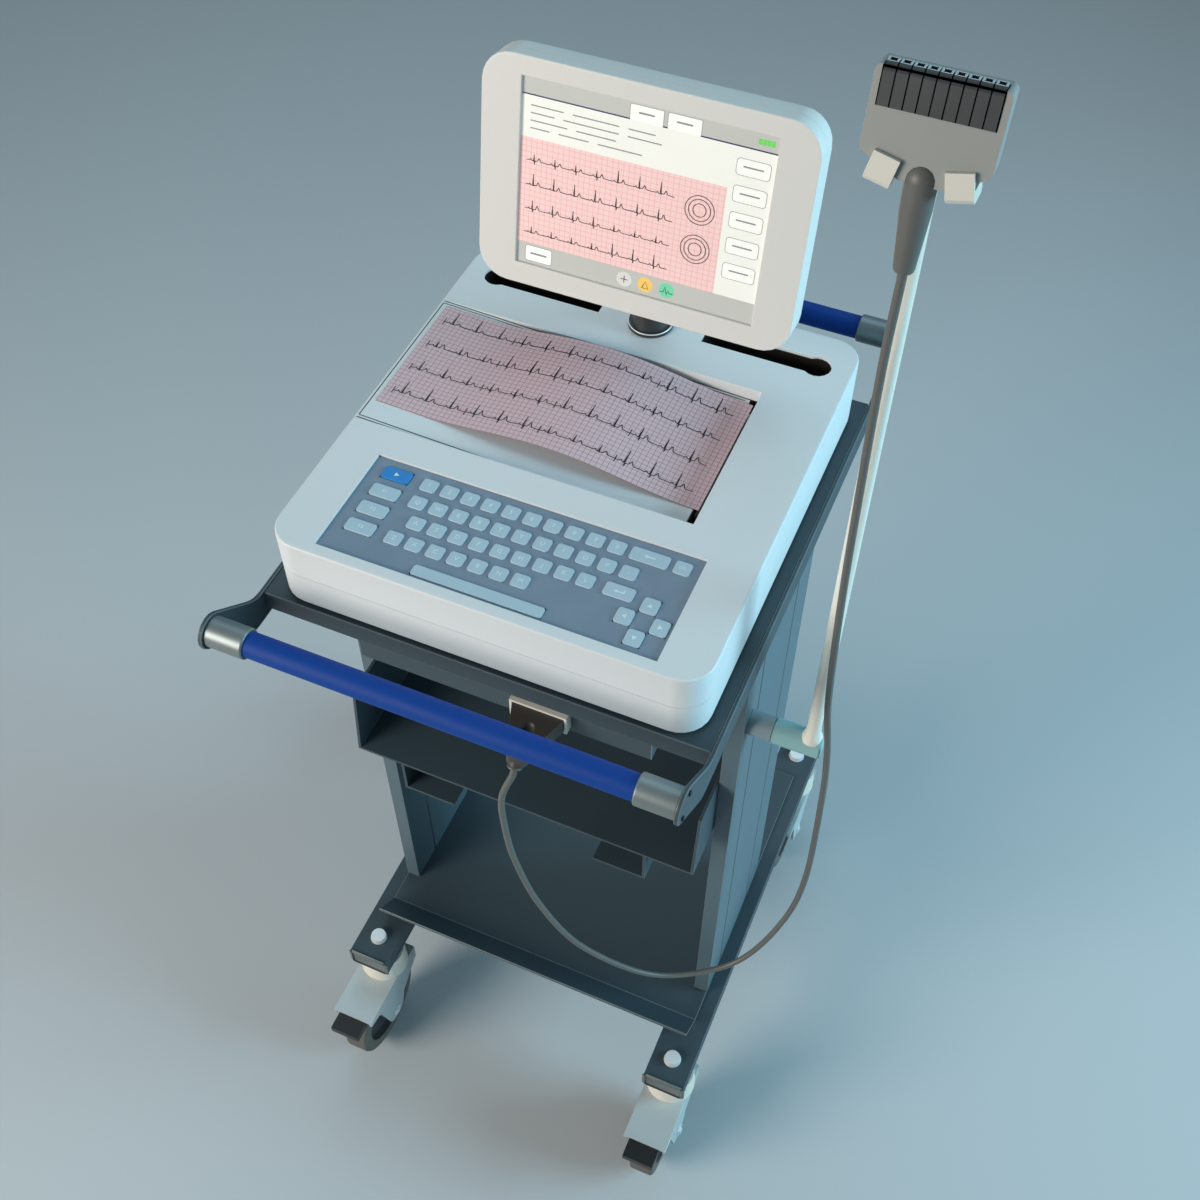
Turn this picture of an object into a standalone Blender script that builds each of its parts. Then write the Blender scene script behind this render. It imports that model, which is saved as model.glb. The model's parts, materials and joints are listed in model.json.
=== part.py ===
"""ECG recorder with a display and a chart writer, standing on its four-caster cart."""

import math

import bmesh
import bpy
from mathutils import Matrix, Vector

# Clearances, in metres like every size below
GAP = 0.0003            # pieces that touch
RUN = 0.0002            # shafts in their bores
KEY_GAP = 0.0004        # keys in their holes
DOOR_GAP = 0.0004       # the chart writer's door in its opening
GEAR_BACKLASH = 0.0002
WELD = 0.000001         # points that are one point

# Faces that meet at less than this angle are shaded as one, or are one
SMOOTH_ANGLE = math.radians(35.0)
FLAT_ANGLE = 0.001

# Casters
WHEEL_R = 0.0625
WHEEL_W = 0.030
WHEEL_RIM_R = 0.046
WHEEL_HUB_R = 0.014
WHEEL_WEB = 0.014
WHEEL_SHOULDER = 0.004
TRAIL = 0.032
AXLE_R = 0.006
FORK_SHEET = 0.003
FORK_SIDE_GAP = 0.0085
WHEEL_HEADROOM = 0.0025
FORK_FRONT = 0.085
FORK_REAR = 0.030
FORK_ARM_R = 0.014
FORK_FLANGE = 0.011
FORK_FRONT_R = 0.010
FORK_NECK_R = 0.020
FORK_FRONT_RUN = 0.031
FORK_NECK_RUN = 0.0225
RACE_R = 0.030
RACE_TOP_R = 0.0276
RACE_H = 0.0336
KINGPIN_R = 0.006
KINGPIN_HEAD_R = 0.0105
KINGPIN_CROWN_R = 0.009
KINGPIN_HEAD_H = 0.006
PEDAL_W = 0.038
PEDAL_L = 0.030
PEDAL_T = 0.0105
PEDAL_PIN_R = 0.003
PEDAL_REACH = 0.107

# Base: two beams with a pan across them
BEAM_W = 0.0494
BEAM_H = 0.0294
BEAM_WALL = 0.003
BEAM_L = 0.523
BEAM_X = 0.1982
BEAM_MID_Y = 0.0255
CASTER_INSET = 0.030
SHEET = 0.003
PAN_W = 0.412
PAN_REAR_Y = 0.2225
PAN_BEND_Y = -0.151
PAN_LIP_RUN = 0.032
PAN_LIP_RISE = 0.028

# Columns and shelf
COLUMN_IN_X = 0.1897
COLUMN_T = 0.0169
COLUMN_D = 0.1852
COLUMN_MID_Y = -0.020
COLUMN_H = 0.6983
COLUMN_WALL = 0.0025
GROOVE_W = 0.004
GROOVE_T = 0.002
GROOVE_INSET = 0.045
SHELF_Z = 0.586
SHELF_FRONT_Y = -0.170
SHELF_WALL_H = 0.090
SHELF_WALL_LEAN = 0.010
RUNNER_X = 0.1385
RUNNER_W = 0.058
RUNNER_H = 0.046

# Table, side plates and handles
TABLE_W = 0.416
TABLE_D = 0.436
TABLE_MID_Y = -0.004
TABLE_LIP = 0.0215
SIDE_PLATE_T = 0.004
SIDE_PLATE_H = 0.030
SIDE_PLATE_RISE = 0.001
SIDE_PLATE_ANGLE = math.radians(40.0)
SIDE_PLATE_END_H = 0.033
SIDE_PLATE_BEND_R = 0.030
HANDLE_REACH = 0.070
HANDLE_RISE = 0.029
HANDLE_R = 0.0115
FERRULE_R = 0.0138
FERRULE_L = 0.035
FERRULE_SOCKET = 0.020
FERRULE_EDGE = 0.0015

# Cable junction box under the table
JUNCTION_W = 0.291
JUNCTION_D = 0.110
JUNCTION_H = 0.0985
JUNCTION_SETBACK = 0.035
SOCKET_X = 0.0400
SOCKET_W = 0.056
SOCKET_H = 0.024
SOCKET_L = 0.022
SOCKET_WALL = 0.003
SOCKET_PROUD = 0.009
SOCKET_LIFT = 0.018
PLUG_NOSE = 0.012
PLUG_NOSE_R = 0.001
PLUG_L = 0.050
PLUG_FRONT_W = 0.016
PLUG_FRONT_R = 0.0053
PLUG_SHOULDER = 0.001
PLUG_COLLAR_R = 0.0060
PLUG_COLLAR_L = 0.0145
PLUG_COLLAR_SETBACK = 0.0084
PLUG_COLLAR_ANGLE = math.radians(55.0)

# Cable arm, pole, cradle and lead module
ARM_R = 0.0125
ARM_L = 0.0700
ARM_DROP = 0.1335
ARM_INSET = 0.0197
POLE_R = 0.0065
POLE_L = 0.634
POLE_FROM_END = 0.011
POLE_SEAT = 0.008
MODULE_W = 0.077
MODULE_H = 0.049
MODULE_T = 0.018
MODULE_R = 0.004
MODULE_CHIN = 0.013
MODULE_CHIN_R = 0.003
MODULE_NECK_W = 0.025
MODULE_TILT = math.radians(12.5)
MODULE_LIFT = 0.010
LEADS = 9
LEAD_PITCH = 0.00755
LEAD_W = 0.0067
LEAD_H = 0.0225
LEAD_T = 0.012
LEAD_SPINE = 0.004
LEAD_PROUD = 0.0012
CRADLE_T = 0.003
CRADLE_W = 0.066
CRADLE_H = 0.034
CRADLE_BELOW = 0.0068
CRADLE_CLAMP_R = 0.011
CRADLE_CLAMP_H = 0.018
HOOK_W = 0.0165
HOOK_X = 0.0232
HOOK_LIP = 0.0185
HOOK_ROOT = 0.0136
HOOK_FLOOR = 0.0075
HOOK_LEAN = math.radians(12.5)
BOOT_TOP_R = 0.0098
BOOT_END_R = 0.0068
BOOT_L = 0.0745
BOOT_STRAIGHT = 0.045
BOOT_END_ROUND = 0.0012
BOOT_PROUD = 0.004
BOOT_INTO = 0.011
CABLE_R = 0.0032
CABLE_LEAD = 0.006
CABLE_STEP = 0.020
CABLE_SPAN_STEPS = 24
CABLE_ROUTE = (
    (0.2642, -0.1119, 1.2381),
    (0.2658, -0.1110, 1.1333),
    (0.2690, -0.1090, 0.9958),
    (0.2750, -0.1060, 0.8567),
    (0.2834, -0.1020, 0.7720),
    (0.2878, -0.0990, 0.6864),
    (0.2893, -0.0980, 0.5244),
    (0.2750, -0.1055, 0.4241),
    (0.2420, -0.1250, 0.3452),
    (0.1935, -0.1535, 0.3232),
    (0.1434, -0.1830, 0.3448),
    (0.0855, -0.2170, 0.4324),
    (0.0512, -0.2370, 0.5363),
    (0.0331, -0.2480, 0.6362),
    (0.0285, -0.2530, 0.7100),
    (0.0300, -0.2550, 0.7620),
)

# Recorder case
FOOT_H = 0.0032
FOOT_R = 0.009
FOOT_INSET = 0.045
CASE_W = 0.394
CASE_D = 0.4255
CASE_FRONT_Y = -0.2185
CASE_CORNER_R = 0.028
CASE_WALL = 0.0025
CASE_LOWER_H = 0.034
CASE_UPPER_H = 0.0377
CASE_EDGE = 0.002
CASE_TOP_T = 0.003
STANDOFF_R = 0.004
STANDOFF_H = 0.004
STANDOFF_INSET = 0.012

# Keypad
KEYPAD_FRONT = 0.0115
KEYPAD_SUNK = 0.002
KEYPAD_FLANGE = 0.004
KEYPAD_FLANGE_T = 0.0015
KEYPAD_LEFT = 0.01225
KEYPAD_RIGHT = 0.00854
KEY_W = 0.0146
KEY_D = 0.0138
KEY_PITCH = 0.01943
KEY_ROW = 0.02145
KEY_ROW_BACK = 0.0153
KEY_PROUD = 0.0012
KEY_COLUMNS = 12         # pitches from the first letter key to the last column
FUNCTION_KEY_W = 0.0265
FUNCTION_GAP = 0.01095
ENTER_KEY_W = 0.0260
ENTER_GAP = 0.00924
ARROW_D = 0.016
ARROW_GAP = 0.0008
ARROW_ROW_GAP = 0.0013
ARROW_RIGHT = 0.0029
SPACE_D = 0.011
SPACE_ROW = 0.02335
SPACE_FRONT = 0.0085
SPACE_START = 1.53       # the space bar's left end, in pitches from the first letter key
SPACE_SPAN = 6.07        # its length, in pitches

# Chart writer
DOOR_FRONT_Y = -0.063
DOOR_BACK_Y = 0.110
DOOR_RIGHT_X = 0.118
DOOR_SLOT = 0.010
DOOR_T = 0.003
DOOR_DIP = 0.0125
WELL_WALL = 0.002
WELL_H = 0.013
PLATEN_R = 0.007
PLATEN_SHAFT_R = 0.0025
PLATEN_X = 0.1115
PLATEN_DROP = 0.0265
PLATEN_EAR_T = 0.004
PLATEN_EAR_W = 0.012
PLATEN_EAR_MARGIN = 0.004
GEAR_MODULE = 0.00075
GEAR_TEETH = 24
PINION_TEETH = 12
GEAR_T = 0.004
GEAR_MARGIN = 0.002
GEAR_ROOT = 1.1          # depth of a tooth inside its pitch circle, in modules
GEAR_TIP = 0.85          # height of a tooth outside its pitch circle, in modules
TOOTH_ROOT_HALF = 0.36   # half a tooth at its root, in tooth steps
TOOTH_TIP_HALF = 0.12    # half a tooth at its tip, in tooth steps
PINION_SHAFT_R = 0.0015
MOTOR_R = 0.0135
MOTOR_L = 0.0255
MOTOR_STANDOFF = 0.0015
SHAFT_GRIP = 0.004
HEAD_T = 0.0045
HEAD_H = 0.012
HEAD_WEB = 0.0022
HEAD_WEB_INSET = 0.010
PAPER_FRONT_Y = -0.037
PAPER_BACK_Y = 0.107
PAPER_T = 0.0005
PAPER_HUMP = 0.013
PAPER_SETBACK = 0.0045
PAPER_FLAT = 0.038
PAPER_STEPS = 24
PACK_L = 0.150
PACK_H = 0.025

# Parts inside the lower shell
BOARD_W = 0.240
BOARD_D = 0.105
BOARD_T = 0.0016
BOARD_SETBACK = 0.025
BATTERY_W = 0.140
BATTERY_D = 0.062
BATTERY_H = 0.025
BATTERY_SETBACK = 0.012

# Carrying slots in the case top
SLOT_Y = 0.163
SLOT_W = 0.021
SLOT_END_R = 0.0135
SLOT_OUT_X = 0.163
SLOT_IN_X = 0.052
SLOT_STEPS = 12

# Display on its neck
NECK_Y = 0.157
NECK_BASE_R = 0.0215
NECK_BASE_H = 0.004
NECK_FOOT_R = 0.018
NECK_TOP_R = 0.0100
NECK_TAPER_H = 0.051
NECK_STUB_R = 0.012
NECK_STUB_L = 0.016
HINGE_RISE = 0.1135
HINGE_R = 0.0105
HINGE_W = 0.046
HINGE_PIN_R = 0.004
HINGE_BACK = 0.0113
LUG_T = 0.008
LUG_BACK = 0.0064
SCREEN_TILT = math.radians(10.07)
SCREEN_DROP = 0.0655
BEZEL_W = 0.297
BEZEL_H = 0.209
BEZEL_T = 0.014
BEZEL_R = 0.028
BEZEL_FACE_T = 0.003
WINDOW_W = 0.2246
WINDOW_H = 0.1708
WINDOW_LIFT = 0.0210
WINDOW_SHIFT = 0.0005
PANEL_MARGIN = 0.003
PANEL_T = 0.005
REAR_T = 0.0217
REAR_WALL = 0.0025
REAR_EDGE = 0.008


for stale in list(bpy.data.objects):
    bpy.data.objects.remove(stale, do_unlink=True)

parts = bpy.data.collections.new("ecg_machine")
cutters = bpy.data.collections.new("cutters")
bpy.context.scene.collection.children.link(parts)
bpy.context.scene.collection.children.link(cutters)


def frame(name, parent=None, location=(0, 0, 0), tilt=0.0):
    """An empty that carries the pieces of one sub-assembly."""
    empty = bpy.data.objects.new(name, None)
    empty.location = location
    empty.rotation_euler = (-tilt, 0, 0)
    empty.parent = parent
    parts.objects.link(empty)
    return empty


def place(obj, name, carrier, location):
    """Name a new mesh object and hang it on its sub-assembly."""
    obj.name = name
    obj.data.name = name
    obj.parent = carrier
    obj.location = location
    for home in list(obj.users_collection):
        home.objects.unlink(obj)
    parts.objects.link(obj)
    return obj


def shape(name, build, carrier, location=(0, 0, 0)):
    """A mesh object filled in by a function that works on a bmesh."""
    mesh = bpy.data.meshes.new(name)
    bm = bmesh.new()
    build(bm)
    bm.normal_update()
    bm.to_mesh(mesh)
    bm.free()
    obj = bpy.data.objects.new(name, mesh)
    return place(obj, name, carrier, location)


def add_box(bm, low, high):
    """A box between two corners."""
    size = [b - a for a, b in zip(low, high)]
    middle = [(a + b) / 2 for a, b in zip(low, high)]
    scale = Matrix.Diagonal((*size, 1.0))
    bmesh.ops.create_cube(bm, size=1.0, matrix=Matrix.Translation(middle) @ scale)


def add_rod(bm, start, end, radius, end_radius=None, sides=24):
    """A round bar or cone from one point to another."""
    start = Vector(start)
    along = Vector(end) - start
    turn = Vector((0, 0, 1)).rotation_difference(along.normalized()).to_matrix().to_4x4()
    place_at = Matrix.Translation(start + along / 2) @ turn
    bmesh.ops.create_cone(
        bm,
        cap_ends=True,
        segments=sides,
        radius1=radius,
        radius2=radius if end_radius is None else end_radius,
        depth=along.length,
        matrix=place_at,
    )


def prism(name, outline, axis, low, high, carrier, location=(0, 0, 0)):
    """A flat outline given thickness along X, Y or Z."""
    curve = bpy.data.curves.new(name, "CURVE")
    curve.dimensions = "2D"
    curve.fill_mode = "BOTH"
    curve.extrude = (high - low) / 2
    spline = curve.splines.new("POLY")
    spline.points.add(len(outline) - 1)
    for point, (u, v) in zip(spline.points, outline):
        point.co = (u, v, 0, 1)
    spline.use_cyclic_u = True
    sketch = bpy.data.objects.new(name, curve)
    parts.objects.link(sketch)
    bpy.context.view_layer.update()
    evaluated = sketch.evaluated_get(bpy.context.evaluated_depsgraph_get())
    mesh = bpy.data.meshes.new_from_object(evaluated)
    bpy.data.objects.remove(sketch)
    bpy.data.curves.remove(curve)
    bm = bmesh.new()
    bm.from_mesh(mesh)
    bmesh.ops.remove_doubles(bm, verts=bm.verts, dist=WELD)
    middle = (low + high) / 2
    for vert in bm.verts:
        u, v, w = vert.co
        w += middle
        vert.co = {"X": (w, u, v), "Y": (u, w, v), "Z": (u, v, w)}[axis]
    bmesh.ops.recalc_face_normals(bm, faces=bm.faces)
    if bm.calc_volume(signed=True) < 0:
        bmesh.ops.reverse_faces(bm, faces=bm.faces)
    bm.to_mesh(mesh)
    bm.free()
    return place(bpy.data.objects.new(name, mesh), name, carrier, location)


def turned(name, profile, carrier, location=(0, 0, 0), sides=32, ring=False):
    """A profile of (radius, height) points, listed top to bottom, turned about Z."""
    mesh = bpy.data.meshes.new(name)
    points = [(radius, 0, height) for radius, height in profile]
    edges = [(i, i + 1) for i in range(len(points) - 1)]
    if ring:
        edges.append((len(points) - 1, 0))
    mesh.from_pydata(points, edges, [])
    obj = place(bpy.data.objects.new(name, mesh), name, carrier, location)
    screw = obj.modifiers.new("turn", "SCREW")
    screw.steps = sides
    screw.render_steps = sides
    screw.use_merge_vertices = True
    screw.merge_threshold = 10 * WELD
    return obj


def combine(obj, tool, operation):
    """Join a tool shape to a piece, or cut it out of the piece."""
    for home in list(tool.users_collection):
        home.objects.unlink(tool)
    cutters.objects.link(tool)
    tool.name = obj.name + "_tool"
    tool.hide_render = True
    tool.display_type = "WIRE"
    mod = obj.modifiers.new(operation.lower(), "BOOLEAN")
    mod.operation = operation
    mod.object = tool
    mod.solver = "EXACT"


def cut(obj, build):
    """Cut a shape out of a piece, in the piece's own frame."""
    combine(obj, shape("tool", build, obj.parent, obj.location), "DIFFERENCE")


def join(obj, build):
    """Fuse a shape to a piece, in the piece's own frame."""
    combine(obj, shape("tool", build, obj.parent, obj.location), "UNION")


def paint(obj, colour, roughness=0.5, metallic=0.0):
    """The piece's own material."""
    material = bpy.data.materials.new(obj.name)
    material.use_nodes = True
    shader = material.node_tree.nodes["Principled BSDF"]
    shader.inputs["Base Color"].default_value = (*colour, 1.0)
    shader.inputs["Roughness"].default_value = roughness
    shader.inputs["Metallic"].default_value = metallic
    obj.data.materials.append(material)


def finish(obj, colour, roughness=0.5, metallic=0.0):
    """The piece's own material, and smooth round faces."""
    paint(obj, colour, roughness, metallic)
    obj.data.shade_smooth()
    obj.data.set_sharp_from_angle(angle=SMOOTH_ANGLE)
    return obj


def round_rim(obj, axis, place_at, width):
    """Round the rim that lies in one plane across an axis."""
    bm = bmesh.new()
    bm.from_mesh(obj.data)
    bmesh.ops.dissolve_limit(bm, angle_limit=FLAT_ANGLE, verts=bm.verts, edges=bm.edges)
    rim = [e for e in bm.edges if all(abs(v.co[axis] - place_at) < RUN / 10 for v in e.verts)]
    bmesh.ops.bevel(bm, geom=rim, offset=width, segments=3, affect="EDGES", profile=0.5)
    bm.to_mesh(obj.data)
    bm.free()


def rounded(points, steps=5):
    """An outline of (u, v, radius) corners with each corner drawn as an arc."""
    outline = []
    count = len(points)
    for i, (u, v, radius) in enumerate(points):
        corner = Vector((u, v))
        if radius <= 0:
            outline.append((u, v))
            continue
        before = Vector(points[i - 1][:2]) - corner
        after = Vector(points[(i + 1) % count][:2]) - corner
        half = before.angle(after) / 2
        reach = min(radius / math.tan(half), 0.49 * before.length, 0.49 * after.length)
        start = corner + before.normalized() * reach
        end = corner + after.normalized() * reach
        middle = corner + (before.normalized() + after.normalized()).normalized() * (reach / math.cos(half))
        arm = start - middle
        sweep = arm.angle_signed(end - middle)
        for k in range(steps + 1):
            turn = Matrix.Rotation(-sweep * k / steps, 2)
            outline.append(tuple(middle + turn @ arm))
    return outline


def rounded_box(low, high, radius, steps=5):
    """A rectangle with round corners, as an outline."""
    (u0, v0), (u1, v1) = low, high
    return rounded([(u0, v0, radius), (u1, v0, radius), (u1, v1, radius), (u0, v1, radius)], steps)


def gear_outline(teeth):
    """Straight-sided teeth on a pitch circle, one tooth centred on the first axis."""
    pitch = teeth * GEAR_MODULE / 2
    root = pitch - GEAR_ROOT * GEAR_MODULE
    tip = pitch + GEAR_TIP * GEAR_MODULE
    step = 2 * math.pi / teeth
    outline = []
    for tooth in range(teeth):
        centre = tooth * step
        corners = (
            (root, -TOOTH_ROOT_HALF),
            (tip, -TOOTH_TIP_HALF),
            (tip, TOOTH_TIP_HALF),
            (root, TOOTH_ROOT_HALF),
        )
        for radius, offset in corners:
            angle = centre + offset * step
            outline.append((radius * math.cos(angle), radius * math.sin(angle)))
    return outline


PAINT = (0.075, 0.100, 0.120)
CASE_WHITE = (0.74, 0.75, 0.74)
STEEL = (0.62, 0.66, 0.67)
GRIP_BLUE = (0.010, 0.045, 0.330)
DARK = (0.035, 0.035, 0.036)
KEY_GREY = (0.42, 0.50, 0.55)

root = frame("ecg_machine")

# Heights of the stack, from the floor up
fork_plate_low = 2 * WHEEL_R + WHEEL_HEADROOM
fork_plate_top = fork_plate_low + FORK_SHEET
beam_low = fork_plate_top + RACE_H + GAP
beam_top = beam_low + BEAM_H
pan_low = beam_top + GAP
pan_top = pan_low + SHEET
column_low = pan_top + GAP
column_top = column_low + COLUMN_H
table_low = column_top + GAP
table_top = table_low + SHEET
table_front = TABLE_MID_Y - TABLE_D / 2
table_back = TABLE_MID_Y + TABLE_D / 2

# Casters: a folded fork with its kingpin, a wheel and, on the front pair, a brake pedal
fork_half = WHEEL_W / 2 + FORK_SIDE_GAP + FORK_SHEET
beam_front = BEAM_MID_Y - BEAM_L / 2
beam_back = BEAM_MID_Y + BEAM_L / 2
stem_y = {"front": beam_front + CASTER_INSET, "rear": beam_back - CASTER_INSET}
stem_x = {"left": -BEAM_X, "right": BEAM_X}


def fork_relief():
    """Side view of what is cut from the fork's sides, leaving a flange and an arm to the axle."""
    arm_low = WHEEL_R - FORK_ARM_R
    flange_low = fork_plate_low - FORK_FLANGE
    beyond = 2 * FORK_SHEET
    return rounded([
        (-FORK_FRONT - beyond, fork_plate_low - FORK_FLANGE / 2, 0),
        (-FORK_FRONT, fork_plate_low - FORK_FLANGE / 2, 0),
        (-TRAIL - FORK_FRONT_RUN, flange_low, FORK_FRONT_R),
        (-TRAIL - FORK_ARM_R, arm_low, FORK_ARM_R),
        (-TRAIL + FORK_ARM_R, arm_low, FORK_ARM_R),
        (-TRAIL + FORK_NECK_RUN, WHEEL_R + FORK_ARM_R, FORK_NECK_R),
        (FORK_REAR, flange_low - FORK_FLANGE, 0),
        (FORK_REAR + beyond, flange_low - FORK_FLANGE, 0),
        (FORK_REAR + beyond, arm_low - 2 * beyond, 0),
        (-FORK_FRONT - beyond, arm_low - 2 * beyond, 0),
    ], steps=4)


def caster_fork(name, stem):
    """Plate, race, cheeks, axle and kingpin, all turning together under the beam."""
    leg_low = WHEEL_R - FORK_ARM_R - FORK_SHEET
    inside = fork_half - FORK_SHEET
    channel = [
        (-fork_half, leg_low),
        (-inside, leg_low),
        (-inside, fork_plate_low),
        (inside, fork_plate_low),
        (inside, leg_low),
        (fork_half, leg_low),
        (fork_half, fork_plate_top),
        (-fork_half, fork_plate_top),
    ]
    fork = prism(name, channel, "Y", -FORK_FRONT, FORK_REAR, stem)
    wide = fork_half + FORK_SHEET
    combine(fork, prism("tool", fork_relief(), "X", -wide, wide, stem), "DIFFERENCE")
    sunk = FORK_SHEET / 2

    def race(bm):
        race_top = fork_plate_top + RACE_H
        add_rod(bm, (0, 0, fork_plate_top - sunk), (0, 0, race_top), RACE_R, RACE_TOP_R, 28)

    def kingpin(bm):
        race_top = fork_plate_top + RACE_H
        add_rod(bm, (0, 0, race_top - sunk), (0, 0, beam_top + GAP + sunk), KINGPIN_R)

    def head(bm):
        low = beam_top + GAP
        add_rod(bm, (0, 0, low), (0, 0, low + KINGPIN_HEAD_H), KINGPIN_HEAD_R, KINGPIN_CROWN_R)

    def axle(bm):
        reach = fork_half - sunk
        add_rod(bm, (-reach, -TRAIL, WHEEL_R), (reach, -TRAIL, WHEEL_R), AXLE_R)

    join(fork, race)
    join(fork, kingpin)
    join(fork, head)
    join(fork, axle)
    return finish(fork, STEEL, 0.35, 0.8)


def caster_wheel(name, stem):
    """Tyre, web and hub in one turned piece; its origin is on the axle."""
    half = WHEEL_W / 2
    web = WHEEL_WEB / 2
    bore = AXLE_R + RUN
    hub_half = half + FORK_SIDE_GAP - GAP
    profile = [
        (bore, hub_half),
        (WHEEL_HUB_R, hub_half),
        (WHEEL_HUB_R, web),
        (WHEEL_RIM_R, web),
        (WHEEL_RIM_R, half),
        (WHEEL_R - WHEEL_SHOULDER, half),
        (WHEEL_R, half - WHEEL_SHOULDER),
        (WHEEL_R, WHEEL_SHOULDER - half),
        (WHEEL_R - WHEEL_SHOULDER, -half),
        (WHEEL_RIM_R, -half),
        (WHEEL_RIM_R, -web),
        (WHEEL_HUB_R, -web),
        (WHEEL_HUB_R, -hub_half),
        (bore, -hub_half),
    ]
    wheel = turned(name, profile, stem, (0, -TRAIL, WHEEL_R), sides=32, ring=True)
    wheel.rotation_euler = (0, math.pi / 2, 0)
    return finish(wheel, (0.10, 0.11, 0.11), 0.7)


def brake_pedal(name, stem):
    """Pad under the fork plate's front end, on two short pins."""
    axis_y = -FORK_FRONT + PEDAL_L / 4
    axis_z = fork_plate_low - GAP - PEDAL_T / 2
    front = -PEDAL_REACH - axis_y
    back = front + PEDAL_L
    half = PEDAL_W / 2

    def pad(bm):
        add_box(bm, (-half, front, -PEDAL_T / 2), (half, back, PEDAL_T / 2))

    pedal = shape(name, pad, stem, (0, axis_y, axis_z))
    reach = fork_half - FORK_SHEET - GAP

    def pin(bm):
        add_rod(bm, (-reach, 0, 0), (reach, 0, 0), PEDAL_PIN_R, sides=16)

    join(pedal, pin)
    return finish(pedal, DARK, 0.6)


for end in ("front", "rear"):
    for side in ("left", "right"):
        stem = frame(end + "_" + side + "_stem", root, (stem_x[side], stem_y[end], 0))
        caster_fork(end + "_" + side + "_fork", stem)
        caster_wheel(end + "_" + side + "_wheel", stem)
        if end == "front":
            brake_pedal(end + "_" + side + "_pedal", stem)

# Beams, bored for the kingpins
for side in ("left", "right"):
    middle = stem_x[side]

    def bar(bm):
        low = (middle - BEAM_W / 2, beam_front, beam_low)
        add_box(bm, low, (middle + BEAM_W / 2, beam_back, beam_top))

    def bores(bm):
        for y in stem_y.values():
            add_rod(bm, (middle, y, beam_low - SHEET), (middle, y, beam_top + SHEET), KINGPIN_R + GAP)

    def hollow_bar(bm):
        low = (middle - BEAM_W / 2 + BEAM_WALL, beam_front + BEAM_WALL, beam_low + BEAM_WALL)
        add_box(bm, low, (middle + BEAM_W / 2 - BEAM_WALL, beam_back - BEAM_WALL, beam_top - BEAM_WALL))

    beam = shape(side + "_beam", bar, root)
    cut(beam, bores)
    cut(beam, hollow_bar)
    finish(beam, PAINT, 0.45)

# Base pan: a floor whose front edge is folded up towards the front
lip_front = PAN_BEND_Y - PAN_LIP_RUN
slope = math.atan2(PAN_LIP_RISE, PAN_LIP_RUN)
pan_outline = [
    (PAN_REAR_Y, pan_low),
    (PAN_REAR_Y, pan_top),
    (PAN_BEND_Y, pan_top),
    (lip_front, pan_top + PAN_LIP_RISE),
    (lip_front - SHEET * math.sin(slope), pan_top + PAN_LIP_RISE - SHEET * math.cos(slope)),
    (PAN_BEND_Y - SHEET * math.tan(slope / 2), pan_low),
]
base_pan = prism("base_pan", pan_outline, "X", -PAN_W / 2, PAN_W / 2, root)
finish(base_pan, PAINT, 0.45)

# Columns: flat extrusions with two grooves on each broad face
column_front = COLUMN_MID_Y - COLUMN_D / 2
column_back = COLUMN_MID_Y + COLUMN_D / 2
column_out = COLUMN_IN_X + COLUMN_T


def grooved_edge(x, inward, ys):
    """Points down one broad face, dipping in at each groove."""
    points = []
    for y, sign in ys:
        points.append((x, y - sign * GROOVE_W / 2))
        points.append((x + inward * GROOVE_T, y - sign * GROOVE_W / 4))
        points.append((x + inward * GROOVE_T, y + sign * GROOVE_W / 4))
        points.append((x, y + sign * GROOVE_W / 2))
    return points


groove_ys = (column_front + GROOVE_INSET, column_back - GROOVE_INSET)
column_plan = [(COLUMN_IN_X, column_front), (column_out, column_front)]
column_plan += grooved_edge(column_out, -1, [(y, 1) for y in groove_ys])
column_plan += [(column_out, column_back), (COLUMN_IN_X, column_back)]
column_plan += grooved_edge(COLUMN_IN_X, 1, [(y, -1) for y in reversed(groove_ys)])
for side, sign in (("left", -1), ("right", 1)):
    plan = [(sign * x, y) for x, y in column_plan]
    column = prism(side + "_column", plan, "Z", column_low, column_top, root)

    def chambers(bm):
        low_x = min(sign * (COLUMN_IN_X + COLUMN_WALL), sign * (column_out - COLUMN_WALL))
        high_x = low_x + COLUMN_T - 2 * COLUMN_WALL
        web = GROOVE_W / 2 + COLUMN_WALL
        edges = (column_front + COLUMN_WALL, *groove_ys, column_back - COLUMN_WALL)
        for k in range(3):
            front = edges[k] + (web if k else 0)
            back = edges[k + 1] - (web if k < 2 else 0)
            add_box(bm, (low_x, front, column_low - SHEET), (high_x, back, column_top + SHEET))

    cut(column, chambers)
    finish(column, PAINT, 0.45)

# Shelf tray between the columns, with two angle runners welded underneath
shelf_half = COLUMN_IN_X - GAP
shelf_floor = SHELF_Z + SHEET
shelf_back = column_back


def tray_floor(bm):
    add_box(bm, (-shelf_half, SHELF_FRONT_Y, SHELF_Z), (shelf_half, shelf_back, shelf_floor))


def tray_back(bm):
    low = (-shelf_half, shelf_back - SHEET, SHELF_Z)
    add_box(bm, low, (shelf_half, shelf_back, SHELF_Z + SHELF_WALL_H))


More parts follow.
